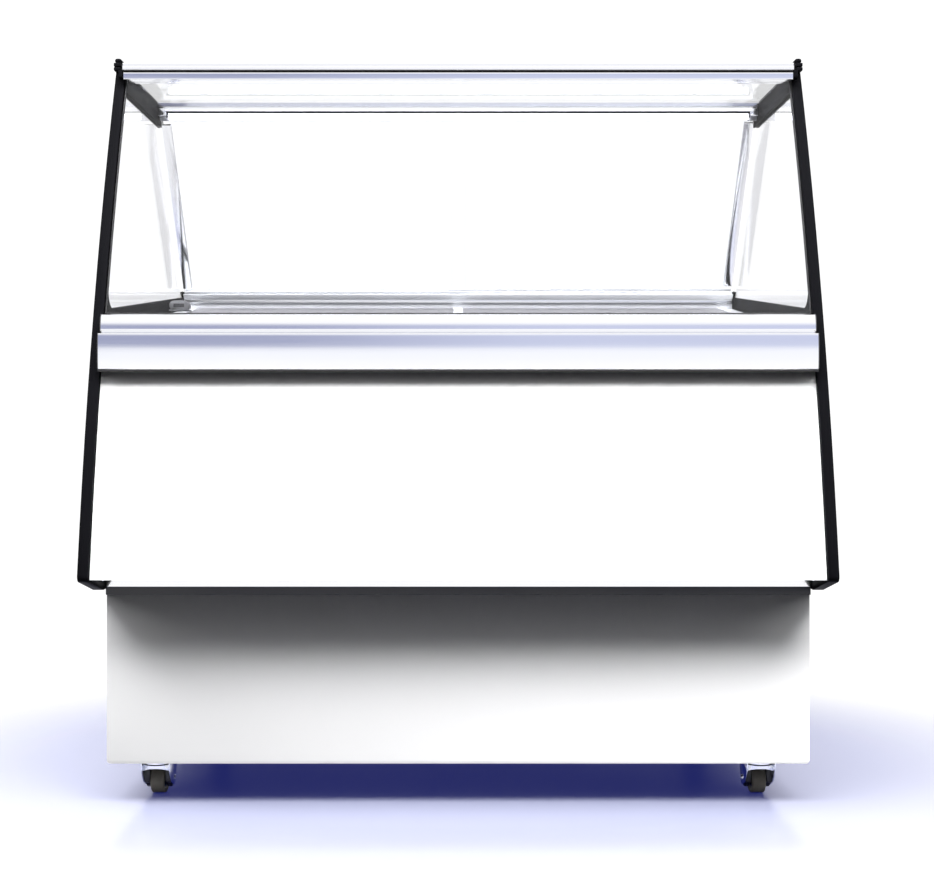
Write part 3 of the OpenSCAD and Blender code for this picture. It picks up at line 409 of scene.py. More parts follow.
def cleanCopy(nodeName, name):
    # a CAD node with its triangles merged back into flat faces
    bm = bmesh.new()
    bm.from_mesh(nodes[nodeName].data)
    bmesh.ops.remove_doubles(bm, verts=bm.verts, dist=1e-6)
    bmesh.ops.dissolve_limit(bm, angle_limit=math.radians(0.6), verts=bm.verts, edges=bm.edges)
    return fromBmesh(name, bm)


def keptSide(obj, name, point, normal, keepAbove=True):
    # the part of a closed mesh on one side of a plane, closed again
    bm = bmesh.new()
    bm.from_mesh(obj.data)
    geom = bm.verts[:] + bm.edges[:] + bm.faces[:]
    bmesh.ops.bisect_plane(bm, geom=geom, plane_co=point, plane_no=normal, clear_outer=not keepAbove,
                           clear_inner=keepAbove)
    bmesh.ops.holes_fill(bm, edges=[e for e in bm.edges if e.is_boundary])
    return newPiece(name, bm)


def bakeModifiers(obj):
    bpy.context.view_layer.update()
    depsgraph = bpy.context.evaluated_depsgraph_get()
    mesh = bpy.data.meshes.new_from_object(obj.evaluated_get(depsgraph))
    mesh.name = obj.name
    obj.modifiers.clear()
    obj.data = mesh
    return obj


def allSmooth(obj):
    for face in obj.data.polygons:
        face.use_smooth = True


def smoothShade(obj, angle=32):
    allSmooth(obj)
    obj.data.set_sharp_from_angle(angle=math.radians(angle))
    return obj


def bevelled(obj, width, segments=2, angle=38):
    # wide faces keep their own normals, so flat sheets stay flat
    allSmooth(obj)
    bevel = obj.modifiers.new("edges", "BEVEL")
    bevel.width = width
    bevel.segments = segments
    bevel.limit_method = "ANGLE"
    bevel.angle_limit = math.radians(angle)
    bevel.use_clamp_overlap = True
    bevel.harden_normals = True
    return bakeModifiers(obj)


def joined(name, parts):
    bm = bmesh.new()
    for part in parts:
        bm.from_mesh(part.data)
        bpy.data.objects.remove(part)
    return fromBmesh(name, bm)


def arcPoints(centre, radius, start, end, steps):
    angles = [math.radians(start + (end - start) * i / steps) for i in range(steps + 1)]
    return [(centre[0] + radius * math.cos(a), centre[1] + radius * math.sin(a)) for a in angles]


def box(name, low, high, round_=0.0, segments=3):
    bm = bmesh.new()
    bmesh.ops.create_cube(bm, size=1.0)
    size = Vector(high) - Vector(low)
    middle = (Vector(high) + Vector(low)) / 2
    for vert in bm.verts:
        vert.co = Vector(a * b for a, b in zip(vert.co, size)) + middle
    obj = newPiece(name, bm)
    return bevelled(obj, round_, segments) if round_ else obj


def turned(name, profile, centre, axis, steps=48):
    # profile is a closed loop of (radius, distance along the axis)
    along = Vector(axis).normalized()
    side = along.orthogonal().normalized()
    up = along.cross(side)
    bm = bmesh.new()
    rings = []
    for i in range(steps):
        a = 2 * math.pi * i / steps
        out = side * math.cos(a) + up * math.sin(a)
        rings.append([bm.verts.new(Vector(centre) + out * r + along * t) for r, t in profile])
    count = len(profile)
    for i in range(steps):
        ring, following = rings[i], rings[(i + 1) % steps]
        for j in range(count):
            k = (j + 1) % count
            if profile[j][0] < 1e-6 and profile[k][0] < 1e-6:
                continue
            corner = [ring[j], following[j], following[k], ring[k]]
            if profile[j][0] < 1e-6:
                corner = [ring[j], following[k], ring[k]]
            elif profile[k][0] < 1e-6:
                corner = [ring[j], following[j], ring[k]]
            bm.faces.new(corner)
    return newPiece(name, bm)


def plate(name, outline, axis, low, high, round_=0.0):
    # a flat outline given thickness along x, y or z
    place = {
        "x": lambda a, b, t: (t, a, b),
        "y": lambda a, b, t: (a, t, b),
        "z": lambda a, b, t: (a, b, t),
    }[axis]
    bm = bmesh.new()
    sides = [[bm.verts.new(place(a, b, t)) for a, b in outline] for t in (low, high)]
    for i in range(len(outline)):
        j = (i + 1) % len(outline)
        bm.faces.new((sides[0][i], sides[0][j], sides[1][j], sides[1][i]))
    bm.faces.new(sides[0])
    bm.faces.new(sides[1])
    obj = newPiece(name, bm)
    return bevelled(obj, round_, 2) if round_ else obj


def extruded(name, outline, x0, x1):
    # outline is a list of (y, z), carried across the case
    return plate(name, outline, "x", x0, x1)


def softened(points, radius, steps=6):
    # a route of corner points with every bend rounded
    path = [Vector(points[0])]
    for before, corner, after in zip(points, points[1:], points[2:]):
        b, c, a = Vector(before), Vector(corner), Vector(after)
        reach = min(radius, (b - c).length * 0.49, (a - c).length * 0.49)
        start = c + (b - c).normalized() * reach
        end = c + (a - c).normalized() * reach
        for i in range(steps + 1):
            t = i / steps
            path.append(start * (1 - t) ** 2 + c * 2 * t * (1 - t) + end * t * t)
    path.append(Vector(points[-1]))
    return path


def tube(name, path, radius, sides=12):
    bm = bmesh.new()
    rings = []
    normal = None
    for i, point in enumerate(path):
        ahead = path[min(i + 1, len(path) - 1)] - path[max(i - 1, 0)]
        ahead.normalize()
        normal = (ahead.orthogonal() if normal is None else normal - ahead * normal.dot(ahead)).normalized()
        across = ahead.cross(normal)
        angles = [2 * math.pi * k / sides for k in range(sides)]
        outs = [normal * math.cos(a) + across * math.sin(a) for a in angles]
        rings.append([bm.verts.new(point + out * radius) for out in outs])
    for ring, following in zip(rings, rings[1:]):
        for j in range(sides):
            k = (j + 1) % sides
            bm.faces.new((ring[j], ring[k], following[k], following[j]))
    bm.faces.new(rings[0])
    bm.faces.new(rings[-1])
    return smoothShade(newPiece(name, bm), 50)


def placePiece(obj, body, slotName, replacing=()):
    obj.data.materials.clear()
    obj.data.materials.append(materials[slotName])
    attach(obj, body)
    if replacing:
        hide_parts(*replacing)
    return obj


def bodyOf(nodeName):
    return nodes[nodeName]["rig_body"]


def slotOf(nodeName):
    return next(s["material_slot"] for s in frame["record"]["subparts"] if s["node"] == nodeName)


def forNode(obj, nodeName, *more):
    # stands for a CAD node, with its body and finish
    return placePiece(obj, bodyOf(nodeName), slotOf(nodeName), [nodeName, *more])


# geometry nodes: trees are built here, run once, and left as plain meshes

class NodeTree:
    def __init__(self, name, inputs, takesGeometry=True):
        self.tree = bpy.data.node_groups.new(name, "GeometryNodeTree")
        face = self.tree.interface
        self.ids = {}
        if takesGeometry:
            face.new_socket("Geometry", in_out="INPUT", socket_type="NodeSocketGeometry")
        for label, kind in inputs:
            socket = face.new_socket(label, in_out="INPUT", socket_type="NodeSocket" + kind)
            self.ids[label] = socket.identifier
        face.new_socket("Geometry", in_out="OUTPUT", socket_type="NodeSocketGeometry")
        self.source = self.tree.nodes.new("NodeGroupInput")
        self.sink = self.tree.nodes.new("NodeGroupOutput")

    def add(self, kind, wires=(), **values):
        node = self.tree.nodes.new(kind)
        for key, value in values.items():
            setattr(node, key, value)
        for key, value in dict(wires).items():
            socket = node.inputs[key]
            if isinstance(value, bpy.types.NodeSocket):
                self.tree.links.new(value, socket)
            else:
                socket.default_value = value
        return node

    def take(self, label):
        return self.source.outputs[label]

    def math(self, operation, *terms):
        return self.add("ShaderNodeMath", enumerate(terms), operation=operation).outputs[0]

    def extrude(self, mesh, height, only=True):
        wires = {"Mesh": mesh, "Selection": only, "Offset Scale": height, "Individual": False}
        return self.add("GeometryNodeExtrudeMesh", wires, mode="FACES")

    def shrink(self, geometry, only, scale):
        wires = {"Geometry": geometry, "Selection": only, "Scale": scale}
        return self.add("GeometryNodeScaleElements", wires)

    def merged(self, *sheets):
        both = self.add("GeometryNodeJoinGeometry")
        for sheet in sheets:
            self.tree.links.new(sheet.outputs[0], both.inputs[0])
        return self.add("GeometryNodeMergeByDistance", {"Geometry": both.outputs[0], "Distance": 1e-6})

    def finish(self, geometry, material):
        real = self.add("GeometryNodeRealizeInstances", {"Geometry": geometry})
        painted = self.add("GeometryNodeSetMaterial", {"Geometry": real.outputs[0], "Material": material})
        self.tree.links.new(painted.outputs[0], self.sink.inputs[0])


def runNodes(name, tree, values, points=((0, 0, 0),)):
    mesh = bpy.data.meshes.new(name)
    mesh.from_pydata([tuple(p) for p in points], [], [])
    obj = linked(name, mesh)
    modifier = obj.modifiers.new("nodes", "NODES")
    modifier.node_group = tree.tree
    for label, value in values.items():
        modifier[tree.ids[label]] = value
    return bakeModifiers(obj)


def curvedSheetTree(material):
    # a sheet that follows the front curve between two heights
    labels = ("Half Width", "Low", "High", "Radius", "Centre Y", "Centre Z", "Thickness")
    tree = NodeTree("curvedSheet", [(label, "Float") for label in labels], False)
    grid = tree.add("GeometryNodeMeshGrid", {"Size X": 1.0, "Size Y": 1.0, "Vertices X": 13,
                                             "Vertices Y": 49})
    place = tree.add("ShaderNodeSeparateXYZ", {0: tree.add("GeometryNodeInputPosition").outputs[0]})
    share = tree.math("ADD", place.outputs["Y"], 0.5)
    height = tree.add("ShaderNodeMapRange", {"Value": share, "To Min": tree.take("Low"),
                                             "To Max": tree.take("High")})
    rise = tree.math("SUBTRACT", height.outputs[0], tree.take("Centre Z"))
    reach = tree.math("SQRT", tree.math("SUBTRACT", tree.math("POWER", tree.take("Radius"), 2.0),
                                        tree.math("POWER", rise, 2.0)))
    back = tree.math("SUBTRACT", tree.take("Centre Y"), reach)
    side = tree.math("MULTIPLY", tree.math("MULTIPLY", place.outputs["X"], 2.0), tree.take("Half Width"))
    spot = tree.add("ShaderNodeCombineXYZ", {"X": side, "Y": back, "Z": height.outputs[0]})
    bent = tree.add("GeometryNodeSetPosition", {"Geometry": grid.outputs[0], "Position": spot.outputs[0]})
    turnedOver = tree.add("GeometryNodeFlipFaces", {"Mesh": bent.outputs[0]})
    inner = tree.extrude(turnedOver.outputs[0], tree.take("Thickness"))
    tree.finish(tree.merged(inner, bent).outputs[0], material)
    return tree


def rowTree(material):
    # the same plate many times along a straight line
    tree = NodeTree("row", [("Count", "Int"), ("Start", "Vector"), ("Step", "Vector"), ("Size", "Vector")],
                    False)
    line = tree.add("GeometryNodeMeshLine", {"Count": tree.take("Count"),
                                             "Start Location": tree.take("Start"),
                                             "Offset": tree.take("Step")}, mode="OFFSET")
    shape = tree.add("GeometryNodeMeshCube", {"Size": tree.take("Size")})
    copies = tree.add("GeometryNodeInstanceOnPoints",
                      {"Points": line.outputs[0], "Instance": shape.outputs[0]})
    tree.finish(copies.outputs[0], material)
    return tree


def screwTree(material):
    # socket screws: a head with a chamfer ring and a sunk recess with as many sides as the head, on every
    # point
    tree = NodeTree("socketScrew", [("Sides", "Int"), ("Radius", "Float"), ("Height", "Float"),
                                    ("Turn", "Vector")])
    head = tree.add("GeometryNodeMeshCylinder", {"Vertices": tree.take("Sides"),
                                                 "Radius": tree.take("Radius"),
                                                 "Depth": tree.take("Height")})
    top = head.outputs["Top"]
    rim = tree.extrude(head.outputs["Mesh"], tree.math("MULTIPLY", tree.take("Height"), 0.22), top)
    rounded = tree.shrink(rim.outputs[0], rim.outputs["Top"], 0.86)
    flat = tree.extrude(rounded.outputs[0], 0.0, rim.outputs["Top"])
    narrowed = tree.shrink(flat.outputs[0], flat.outputs["Top"], 0.6)
    depth = tree.math("MULTIPLY", tree.take("Height"), -0.7)
    sunk = tree.extrude(narrowed.outputs[0], depth, flat.outputs["Top"])
    wires = {"Points": tree.take("Geometry"), "Instance": sunk.outputs[0], "Rotation": tree.take("Turn")}
    copies = tree.add("GeometryNodeInstanceOnPoints", wires)
    tree.finish(copies.outputs[0], material)
    return tree


def ringsTree(material):
    # concentric wire rings, facing Y
    tree = NodeTree("rings", [("Count", "Int"), ("First", "Float"), ("Pitch", "Float"), ("Wire", "Float"),
                              ("Centre", "Vector")], False)
    line = tree.add("GeometryNodeMeshLine", {"Count": tree.take("Count"),
                                             "Start Location": tree.take("Centre"),
                                             "Offset": (0.0, 0.0, 0.0)}, mode="OFFSET")
    ring = tree.add("GeometryNodeCurvePrimitiveCircle", {"Resolution": 56, "Radius": 1.0})
    index = tree.add("GeometryNodeInputIndex").outputs[0]
    size = tree.math("MULTIPLY_ADD", index, tree.take("Pitch"), tree.take("First"))
    wires = {"Points": line.outputs[0], "Instance": ring.outputs[0], "Scale": size,
             "Rotation": (math.radians(90), 0.0, 0.0)}
    copies = tree.add("GeometryNodeInstanceOnPoints", wires)
    real = tree.add("GeometryNodeRealizeInstances", {"Geometry": copies.outputs[0]})
    wire = tree.add("GeometryNodeCurvePrimitiveCircle", {"Resolution": 8, "Radius": tree.take("Wire")})
    swept = tree.add("GeometryNodeCurveToMesh", {"Curve": real.outputs[0],
                                                 "Profile Curve": wire.outputs[0]})
    tree.finish(swept.outputs[0], material)
    return tree


def louvreTree(material):
    # hooded louvres: an arc carried along X, one over each slot
    tree = NodeTree("louvre", [("Length", "Float"), ("Reach", "Float"), ("Sheet", "Float")])
    rail = tree.add("GeometryNodeCurvePrimitiveLine", {"Start": (0.0, 0.0, 0.0)})
    tree.tree.links.new(tree.add("ShaderNodeCombineXYZ", {"X": tree.take("Length")}).outputs[0],
                        rail.inputs["End"])
    arc = tree.add("GeometryNodeCurveArc", {"Resolution": 7, "Radius": tree.take("Reach"),
                                            "Start Angle": 0.0,
                                            "Sweep Angle": math.radians(100)}, mode="RADIUS")
    hood = tree.add("GeometryNodeCurveToMesh", {"Curve": rail.outputs[0], "Profile Curve": arc.outputs[0]})
    thick = tree.extrude(hood.outputs[0], tree.take("Sheet"))
    under = tree.add("GeometryNodeFlipFaces", {"Mesh": hood.outputs[0]})
    closed = tree.merged(thick, under)
    copies = tree.add("GeometryNodeInstanceOnPoints",
                      {"Points": tree.take("Geometry"), "Instance": closed.outputs[0]})
    tree.finish(copies.outputs[0], material)
    return tree


# curved front: the glass, the white panel under it and its lower trim

frontCurve = {
    "radius": 4.4,
    "lean": 9.5,
    "lipRound": 0.010,
    "lipHeight": 0.400,
    "glassInset": 0.003,
    "panelInset": 0.010,
    "glassThick": 0.006,
    "panelThick": 0.0015,
    "panelFoot": 0.395,
    "returnRise": 0.3815,
    "trimHeight": 0.003,
    "trimProud": 0.0012,
}


def curveCentre():
    r = frontCurve["radius"] - frontCurve["lipRound"]
    lean = math.radians(frontCurve["lean"])
    y = cadBox[0].y + frontCurve["lipRound"] + r * math.cos(lean)
    return y, frontCurve["lipHeight"] - r * math.sin(lean)


def frontY(z, inset=0.0):
    y, low = curveCentre()
    return y - math.sqrt((frontCurve["radius"] - inset) ** 2 - (z - low) ** 2)


def cutUnder(obj, name, a, b):
    # drops what lies below the line from a to b in the YZ plane
    slope = Vector((0.0, b[0] - a[0], b[1] - a[1]))
    return keptSide(obj, name, (0.0, *a), Vector((1.0, 0.0, 0.0)).cross(slope))


def makeCurvedFront():
    centreY, centreZ = curveCentre()
    tree = curvedSheetTree(materials["clear_glass"])

    def sheet(name, halfWidth, low, high, inset, thick):
        values = {"Half Width": halfWidth, "Low": low, "High": high, "Radius": frontCurve["radius"] - inset,
                  "Centre Y": centreY, "Centre Z": centreZ, "Thickness": thick}
        return smoothShade(runNodes(name, tree, values), 30)

    inset = frontCurve["glassInset"]
    low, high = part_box("front_glass")
    forNode(sheet("frontGlassPane", high.x, low.z, high.z, inset, frontCurve["glassThick"]), "front_glass")
    edges = []
    levels = [low.z + (high.z - low.z) * i / 24 for i in range(25)]
    outline = [(frontY(z, inset - 0.0004), z) for z in levels]
    outline += [(frontY(z, inset + frontCurve["glassThick"] + 0.0004), z) for z in reversed(levels)]
    for side in (-1, 1):
        x = sorted((side * (high.x - 0.0012), side * (high.x + 0.0005)))
        edges.append(extruded("edgeSeal", outline, *x))
    placePiece(joined("frontGlassEdgeSeals", edges), bodyOf("front_glass"), "seal_rubber")
    low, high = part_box("front_panel")
    inset = frontCurve["panelInset"]
    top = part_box("bumper_lower")[0].z
    foot = frontCurve["panelFoot"]
    thick = frontCurve["panelThick"]
    skin = sheet("frontPanelSkin", high.x, foot, top, inset, thick)
    proud = frontCurve["trimProud"]
    trim = sheet("frontPanelTrim", high.x - 0.0005, foot - thick, foot + frontCurve["trimHeight"],
                 inset - proud, proud)
    back = frontY(foot, inset)
    rise = frontCurve["returnRise"]
    rear = high.y + thick
    slope = [(back, foot), (high.y, rise), (rear, rise + thick), (back + thick, foot + thick)]
    under = extruded("frontPanelReturn", slope, low.x + 0.0005, high.x - 0.0005)
    whole = cleanCopy("insulation", "foam")
    forNode(cutUnder(whole, "foamCut", (back, foot + thick), (high.y, rise + thick)), "insulation")
    bpy.data.objects.remove(whole)
    strip = [(high.y - 0.0012, low.z), (high.y - 0.0012, rise + 0.001), (high.y, rise + 0.001),
             (high.y, low.z)]
    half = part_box("plinth_panel")[1].x
    placePiece(bevelled(extruded("frontPanelStrip", strip, -half, half), 0.0003), "case",
               "profile_aluminium")
    forNode(skin, "front_panel")
    placePiece(joined("frontPanelFoot", [trim, under]), "case", "grille_paint")


# bumper: two stacked extrusions whose faces bulge slightly

bumper = {
    "upperTopRound": 0.008,
    "upperLowRound": 0.0065,
    "upperTilt": (15.0, 1.2),
    "lowerTopRound": 0.002,
    "lowerLowRound": 0.004,
    "lowerTilt": (5.3, -3.8),
    "capThick": 0.0015,
    # black strip under the lower bumper: part seal, part painted shade
    "shadeStripInset": 0.0030,
    "shadeStripBehind": 0.0052,
    "sealThick": 0.0032,
}


def bulgedFace(front, top, low, topRound, lowRound, tilts):
    # (y, z) points down the face: a tight round, the wide bulge, a tight round
    first, last = (math.radians(t) for t in tilts)
    rest = (top - low) - topRound * (1 - math.sin(first)) - lowRound * (1 + math.sin(last))
    wide = rest / (math.sin(first) - math.sin(last))
    spans = [(topRound, math.radians(90), first, 8), (wide, first, last, 14),
             (lowRound, last, math.radians(-90), 8)]
    y, z = 0.0, top
    points = [(y, z)]
    for radius, a, b, steps in spans:
        for i in range(steps):
            a0, a1 = (a + (b - a) * k / steps for k in (i, i + 1))
            y += radius * (math.cos(a0) - math.cos(a1))
            z -= radius * (math.sin(a0) - math.sin(a1))
            points.append((y, z))
    shift = front - min(p[0] for p in points)
    return [(y + shift, z) for y, z in points]


def makeBumper():
    for nodeName, key in (("bumper_upper", "upper"), ("bumper_lower", "lower")):
        low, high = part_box(nodeName)
        face = bulgedFace(low.y, high.z, low.z, bumper[key + "TopRound"], bumper[key + "LowRound"],
                          bumper[key + "Tilt"])
        outline = face + [(high.y, low.z), (high.y, high.z)]
        cap = bumper["capThick"]
        obj = extruded(nodeName + "Profile", outline, low.x + cap, high.x - cap)
        forNode(smoothShade(obj, 25), nodeName)
        for side in (-1, 1):
            x = sorted((side * high.x, side * (high.x - cap)))
            end = extruded(nodeName + ("EndLeft" if side < 0 else "EndRight"), outline, *x)
            placePiece(end, "case", "control_plastic")
    # a black strip under the lower bumper, partly a seal against the panel and partly a dark sheet that
    # paints the shade in the gap there and soaks up bounce light
    low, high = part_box("bumper_lower")
    inset, behind, thick = bumper["shadeStripInset"], bumper["shadeStripBehind"], bumper["sealThick"]
    shadeStrip = box("bumperShadeStrip", (low.x, low.y + inset, low.z - thick), (high.x, high.y - behind, low.z),
               0.0008)
    placePiece(shadeStrip, "case", "seal_rubber")


# roof bar and glass clamp: bulged faces too, the bar with a fine shadow groove

topRails = {
    "barRound": 0.0025,
    "barTilt": (9.0, 4.0),
    "grooveZ": 1.2757,
    "grooveWide": 0.0018,
    "grooveDeep": 0.003,
    "clampRound": 0.0028,
    "clampTilt": (-1.0, -4.0),
    "headerRound": 0.0045,
    "headerTilt": (-0.2, -1.2),
    "sealFront": 0.0016,
    "sealThick": 0.0018,
}


def makeTopRails():
    low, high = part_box("roof_bar")
    r = topRails["barRound"]
    face = bulgedFace(low.y, high.z, low.z, r, r, topRails["barTilt"])
    z, half, deep = topRails["grooveZ"], topRails["grooveWide"] / 2, topRails["grooveDeep"]
    above = [p for p in face if p[1] > z + half]
    below = [p for p in face if p[1] < z - half]
    edge = above[-1][0]
    groove = [(edge, z + half), (edge + deep, z + half), (edge + deep, z - half), (edge, z - half)]
    outline = above + groove + below + [(high.y, low.z), (high.y, high.z)]
    forNode(smoothShade(extruded("roofBarProfile", outline, low.x, high.x), 25), "roof_bar")
    low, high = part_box("front_glass_clamp")
    r = topRails["clampRound"]
    face = bulgedFace(low.y, high.z, low.z, r, 0.0008, topRails["clampTilt"])
    outline = face + [(high.y, low.z), (high.y, high.z - 0.002), (high.y - 0.002, high.z)]
    forNode(smoothShade(extruded("glassClampProfile", outline, low.x, high.x), 25), "front_glass_clamp")
    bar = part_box("roof_bar")[0]
    y0, y1 = bar.y + topRails["sealFront"], high.y - 0.002
    drop = bar.z - topRails["sealThick"]
    wiper = [(y0, bar.z), (y0, drop + 0.0006), (y0 + 0.0006, drop), (y1, drop), (y1, bar.z)]
    placePiece(extruded("roofBarWiper", wiper, low.x, high.x), "case", "seal_rubber")
    low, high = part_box("rear_header")
    face = bulgedFace(low.y, high.z, low.z, topRails["headerRound"], 0.0008, topRails["headerTilt"])
    outline = face + [(high.y, low.z), (high.y, high.z)]
    forNode(smoothShade(extruded("rearHeaderProfile", outline, low.x, high.x), 25), "rear_header")


def splitAt(obj, name, level, keepAbove):
    return keptSide(obj, name, (0.0, 0.0, level), (0.0, 0.0, 1.0), keepAbove)


def makeDoorTracks():
    # the run under the header and the runs down the sides are separate profiles
    whole = cleanCopy("door_tracks", "doorTracks")
    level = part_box("led_diffuser")[1].z
    upper = bevelled(splitAt(whole, "doorTrackUpper", level, True), 0.0005)
    lower = bevelled(splitAt(whole, "doorTrackLower", level, False), 0.0005)
    bpy.data.objects.remove(whole)
    placePiece(upper, "case", "liner_white", ["door_tracks"])
    placePiece(lower, "case", "liner_white")


# CAD nodes that only need their edges eased: width of the round in metres
easedEdges = {
    "side_frames": 0.0012,
    "end_panels": 0.0012,
    "worktop": 0.0009,
    "rear_sill": 0.0008,
    "deck_pans": 0.0006,
    "deck_rail": 0.0008,
    "plinth_panel": 0.0005,
    "grip_left": 0.0015,
    "grip_right": 0.0015,
    "plinth_band": 0.0006,
    "rear_panel": 0.0004,
    "fan_panel": 0.0005,
    "front_glass_seal": 0.0007,
}

# flat panes keep flat normals, with only a fine arris
paneArris = {
    "roof_glass": 0.0005,
    "side_glasses": 0.0005,
    "door_left": 0.0004,
    "door_right": 0.0004,
}


def easeCadEdges():
    for nodeName, width in easedEdges.items():
        obj = cleanCopy(nodeName, nodeName + "Eased")
        forNode(bevelled(obj, width), nodeName)
    for nodeName, width in paneArris.items():
        obj = cleanCopy(nodeName, nodeName + "Pane")
        bevel = obj.modifiers.new("arris", "BEVEL")
        bevel.width = width
        bevel.segments = 1
        bevel.limit_method = "ANGLE"
        forNode(bakeModifiers(obj), nodeName)


def paintCadNodes():
    for nodeName, obj in nodes.items():
        obj.data.materials.clear()
        obj.data.materials.append(materials[slotOf(nodeName)])


def looseParts(nodeName):
    # (lowest corner, highest corner) of every separate solid in a node
    bm = bmesh.new()
    bm.from_mesh(nodes[nodeName].data)
    bmesh.ops.remove_doubles(bm, verts=bm.verts, dist=1e-6)
    seen = set()
    found = []
    for seed in bm.verts:
        if seed in seen:
            continue
        seen.add(seed)
        stack, group = [seed], []
        while stack:
            vert = stack.pop()
            group.append(vert.co.copy())
            for edge in vert.link_edges:
                other = edge.other_vert(vert)
                if other not in seen:
                    seen.add(other)
                    stack.append(other)
        found.append((Vector(map(min, *group)), Vector(map(max, *group))))
    bm.free()
    return found


def makeScrews():
    tree = screwTree(materials["zinc"])
    kinds = {}
    for low, high in looseParts("screws"):
        size = high - low
        down = size.z < size.y or abs(size.x - size.y) < abs(size.x - size.z)
        key = ("bolt" if down else "screw", round(size.x / 2, 4), round(size.z if down else size.y, 4))
        kinds.setdefault(key, []).append((low + high) / 2)
    parts = []
    for (kind, radius, height), points in kinds.items():
        turn = (math.radians(180), 0.0, 0.0) if kind == "bolt" else (math.radians(-90), 0.0, 0.0)
        values = {"Sides": 6 if kind == "bolt" else 24, "Radius": radius, "Height": height * 0.8,
                  "Turn": turn}
        parts.append(runNodes(kind + str(len(points)), tree, values, points))
    forNode(smoothShade(joined("fasteners", parts), 35), "screws")


# casters: swivel race, pressed fork, twin guards, tread and brake pedal

caster = {
    "wheelRadius": 0.025,
    "treadHalf": 0.0122,
    "forkHalf": 0.025,
    "sheet": 0.0022,
    "crownTop": 0.0657,
    "crownRadius": 0.0245,
    "crownCurl": 0.0040,
    "crownLip": 0.0072,
    "trail": 0.018,
    "guardRadius": 0.0150,
    "apronTop": 0.0102,
    "apronDrop": 0.0151,
    "apronArch": 0.0080,
    "pedalReach": 0.034,
    "pedalHalf": 0.0165,
    "pedalRibs": 6,
    "ribPitch": 0.003,
}


def casterPlaces():
    for end in ("front", "rear"):
        for side in ("left", "right"):
            low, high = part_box("wheel_" + end + "_" + side)
            hub = (low + high) / 2
            yield end + "_" + side, Vector((hub.x, hub.y - caster["trail"], 0.0))


def forkSide(place, side, name):
    # one pressed cheek: from the crown down to the axle, narrowing as it goes
    y, trail, top = place.y, caster["trail"], caster["crownTop"]
    outline = [(y - 0.021, top - 0.004), (y - 0.022, 0.052), (y - 0.016, 0.040), (y - 0.003, 0.0235)]
    outline += arcPoints((y + trail, caster["wheelRadius"]), 0.0115, 225, 325, 12)
    outline += [(y + 0.037, 0.042), (y + 0.038, 0.052), (y + 0.030, top - 0.004)]
    outer = side * caster["forkHalf"]
    inner = side * (caster["forkHalf"] - caster["sheet"])
    return plate(name, outline, "x", *sorted((place.x + outer, place.x + inner)), 0.0007)


def forkCrown(place, name):
    # domed dish with a rolled lip
    r, top, sheet = caster["crownRadius"], caster["crownTop"], caster["sheet"]
    curl, lip = caster["crownCurl"], caster["crownLip"]
    dish = [(0.0052, top), (r - curl, top)]
    dish += arcPoints((r - curl, top - curl), curl, 90, 0, 8)
    dish += [(r, top - lip), (r - sheet, top - lip)]
    dish += arcPoints((r - curl, top - curl), curl - sheet, 0, 90, 8)
    dish += [(0.0052, top - sheet)]
    return turned(name, dish, (place.x, place.y, 0.0), (0, 0, 1), 56)


def forkApron(place, name):
    # curved skirt between the two cheeks in front, arched up in the middle
    r, top, sheet = caster["forkHalf"], caster["crownTop"], caster["sheet"]
    steps = 28
    bm = bmesh.new()
    rows = []
    for i in range(steps + 1):
        a = math.pi * i / steps
        drop = caster["apronDrop"] + caster["apronArch"] * abs(math.cos(a)) ** 2.4
        high, low = top - caster["apronTop"], top - drop
        column = []
        for radius, z in ((r, high), (r, low), (r - sheet, low), (r - sheet, high)):
            column.append(bm.verts.new((place.x + radius * math.cos(a),
                                        place.y - radius * math.sin(a) * 0.86, z)))
        rows.append(column)
    for a, b in zip(rows, rows[1:]):
        for j in range(4):
            k = (j + 1) % 4
            bm.faces.new((a[j], b[j], b[k], a[k]))
    bm.faces.new(rows[0])
    bm.faces.new(rows[-1])
    return smoothShade(newPiece(name, bm), 40)


def axleEnds(place, name):
    parts = []
    for side in (-1, 1):
        at = (place.x + side * caster["forkHalf"], place.y + caster["trail"], caster["wheelRadius"])
        head = [(0.0, 0.0), (0.0052, 0.0), (0.0052, 0.0008), (0.0040, 0.0018), (0.0022, 0.0018),
                (0.0022, 0.0010),
                (0.0, 0.0010)]
        parts.append(turned(name + str(side), head, at, (side, 0, 0), 6 if side > 0 else 24))
    return joined(name, parts)


def makeWheel(key, place):
    centre = (place.x, place.y + caster["trail"], caster["wheelRadius"])
    r, half = caster["wheelRadius"], caster["treadHalf"]
    tread = [(r - 0.007, -half + 0.002), (r - 0.004, -half)]
    tread += arcPoints((r - 0.003, -half + 0.003), 0.003, 270, 360, 6)
    tread += [(r, -0.003), (r, 0.003)]
    tread += arcPoints((r - 0.003, half - 0.003), 0.003, 0, 90, 6)
    tread += [(r - 0.004, half), (r - 0.007, half - 0.002)]
    tyre = smoothShade(turned("tyre", tread, centre, (1, 0, 0), 72), 35)
    wheel = placePiece(tyre, "wheel_" + key, "tread_grey", ["wheel_" + key])
    wheel.name = "tyre_" + key
    core = [(0.0042, -half - 0.004), (0.008, -half - 0.004), (0.0085, -half - 0.001),
            (r - 0.009, -half + 0.003), (r - 0.007, -half + 0.002), (r - 0.007, half - 0.002),
            (r - 0.009, half - 0.003), (0.0085, half + 0.001), (0.008, half + 0.004),
            (0.0042, half + 0.004)]
    hub = smoothShade(turned("hub_" + key, core, centre, (1, 0, 0), 48), 35)
    placePiece(hub, "wheel_" + key, "fan_black")


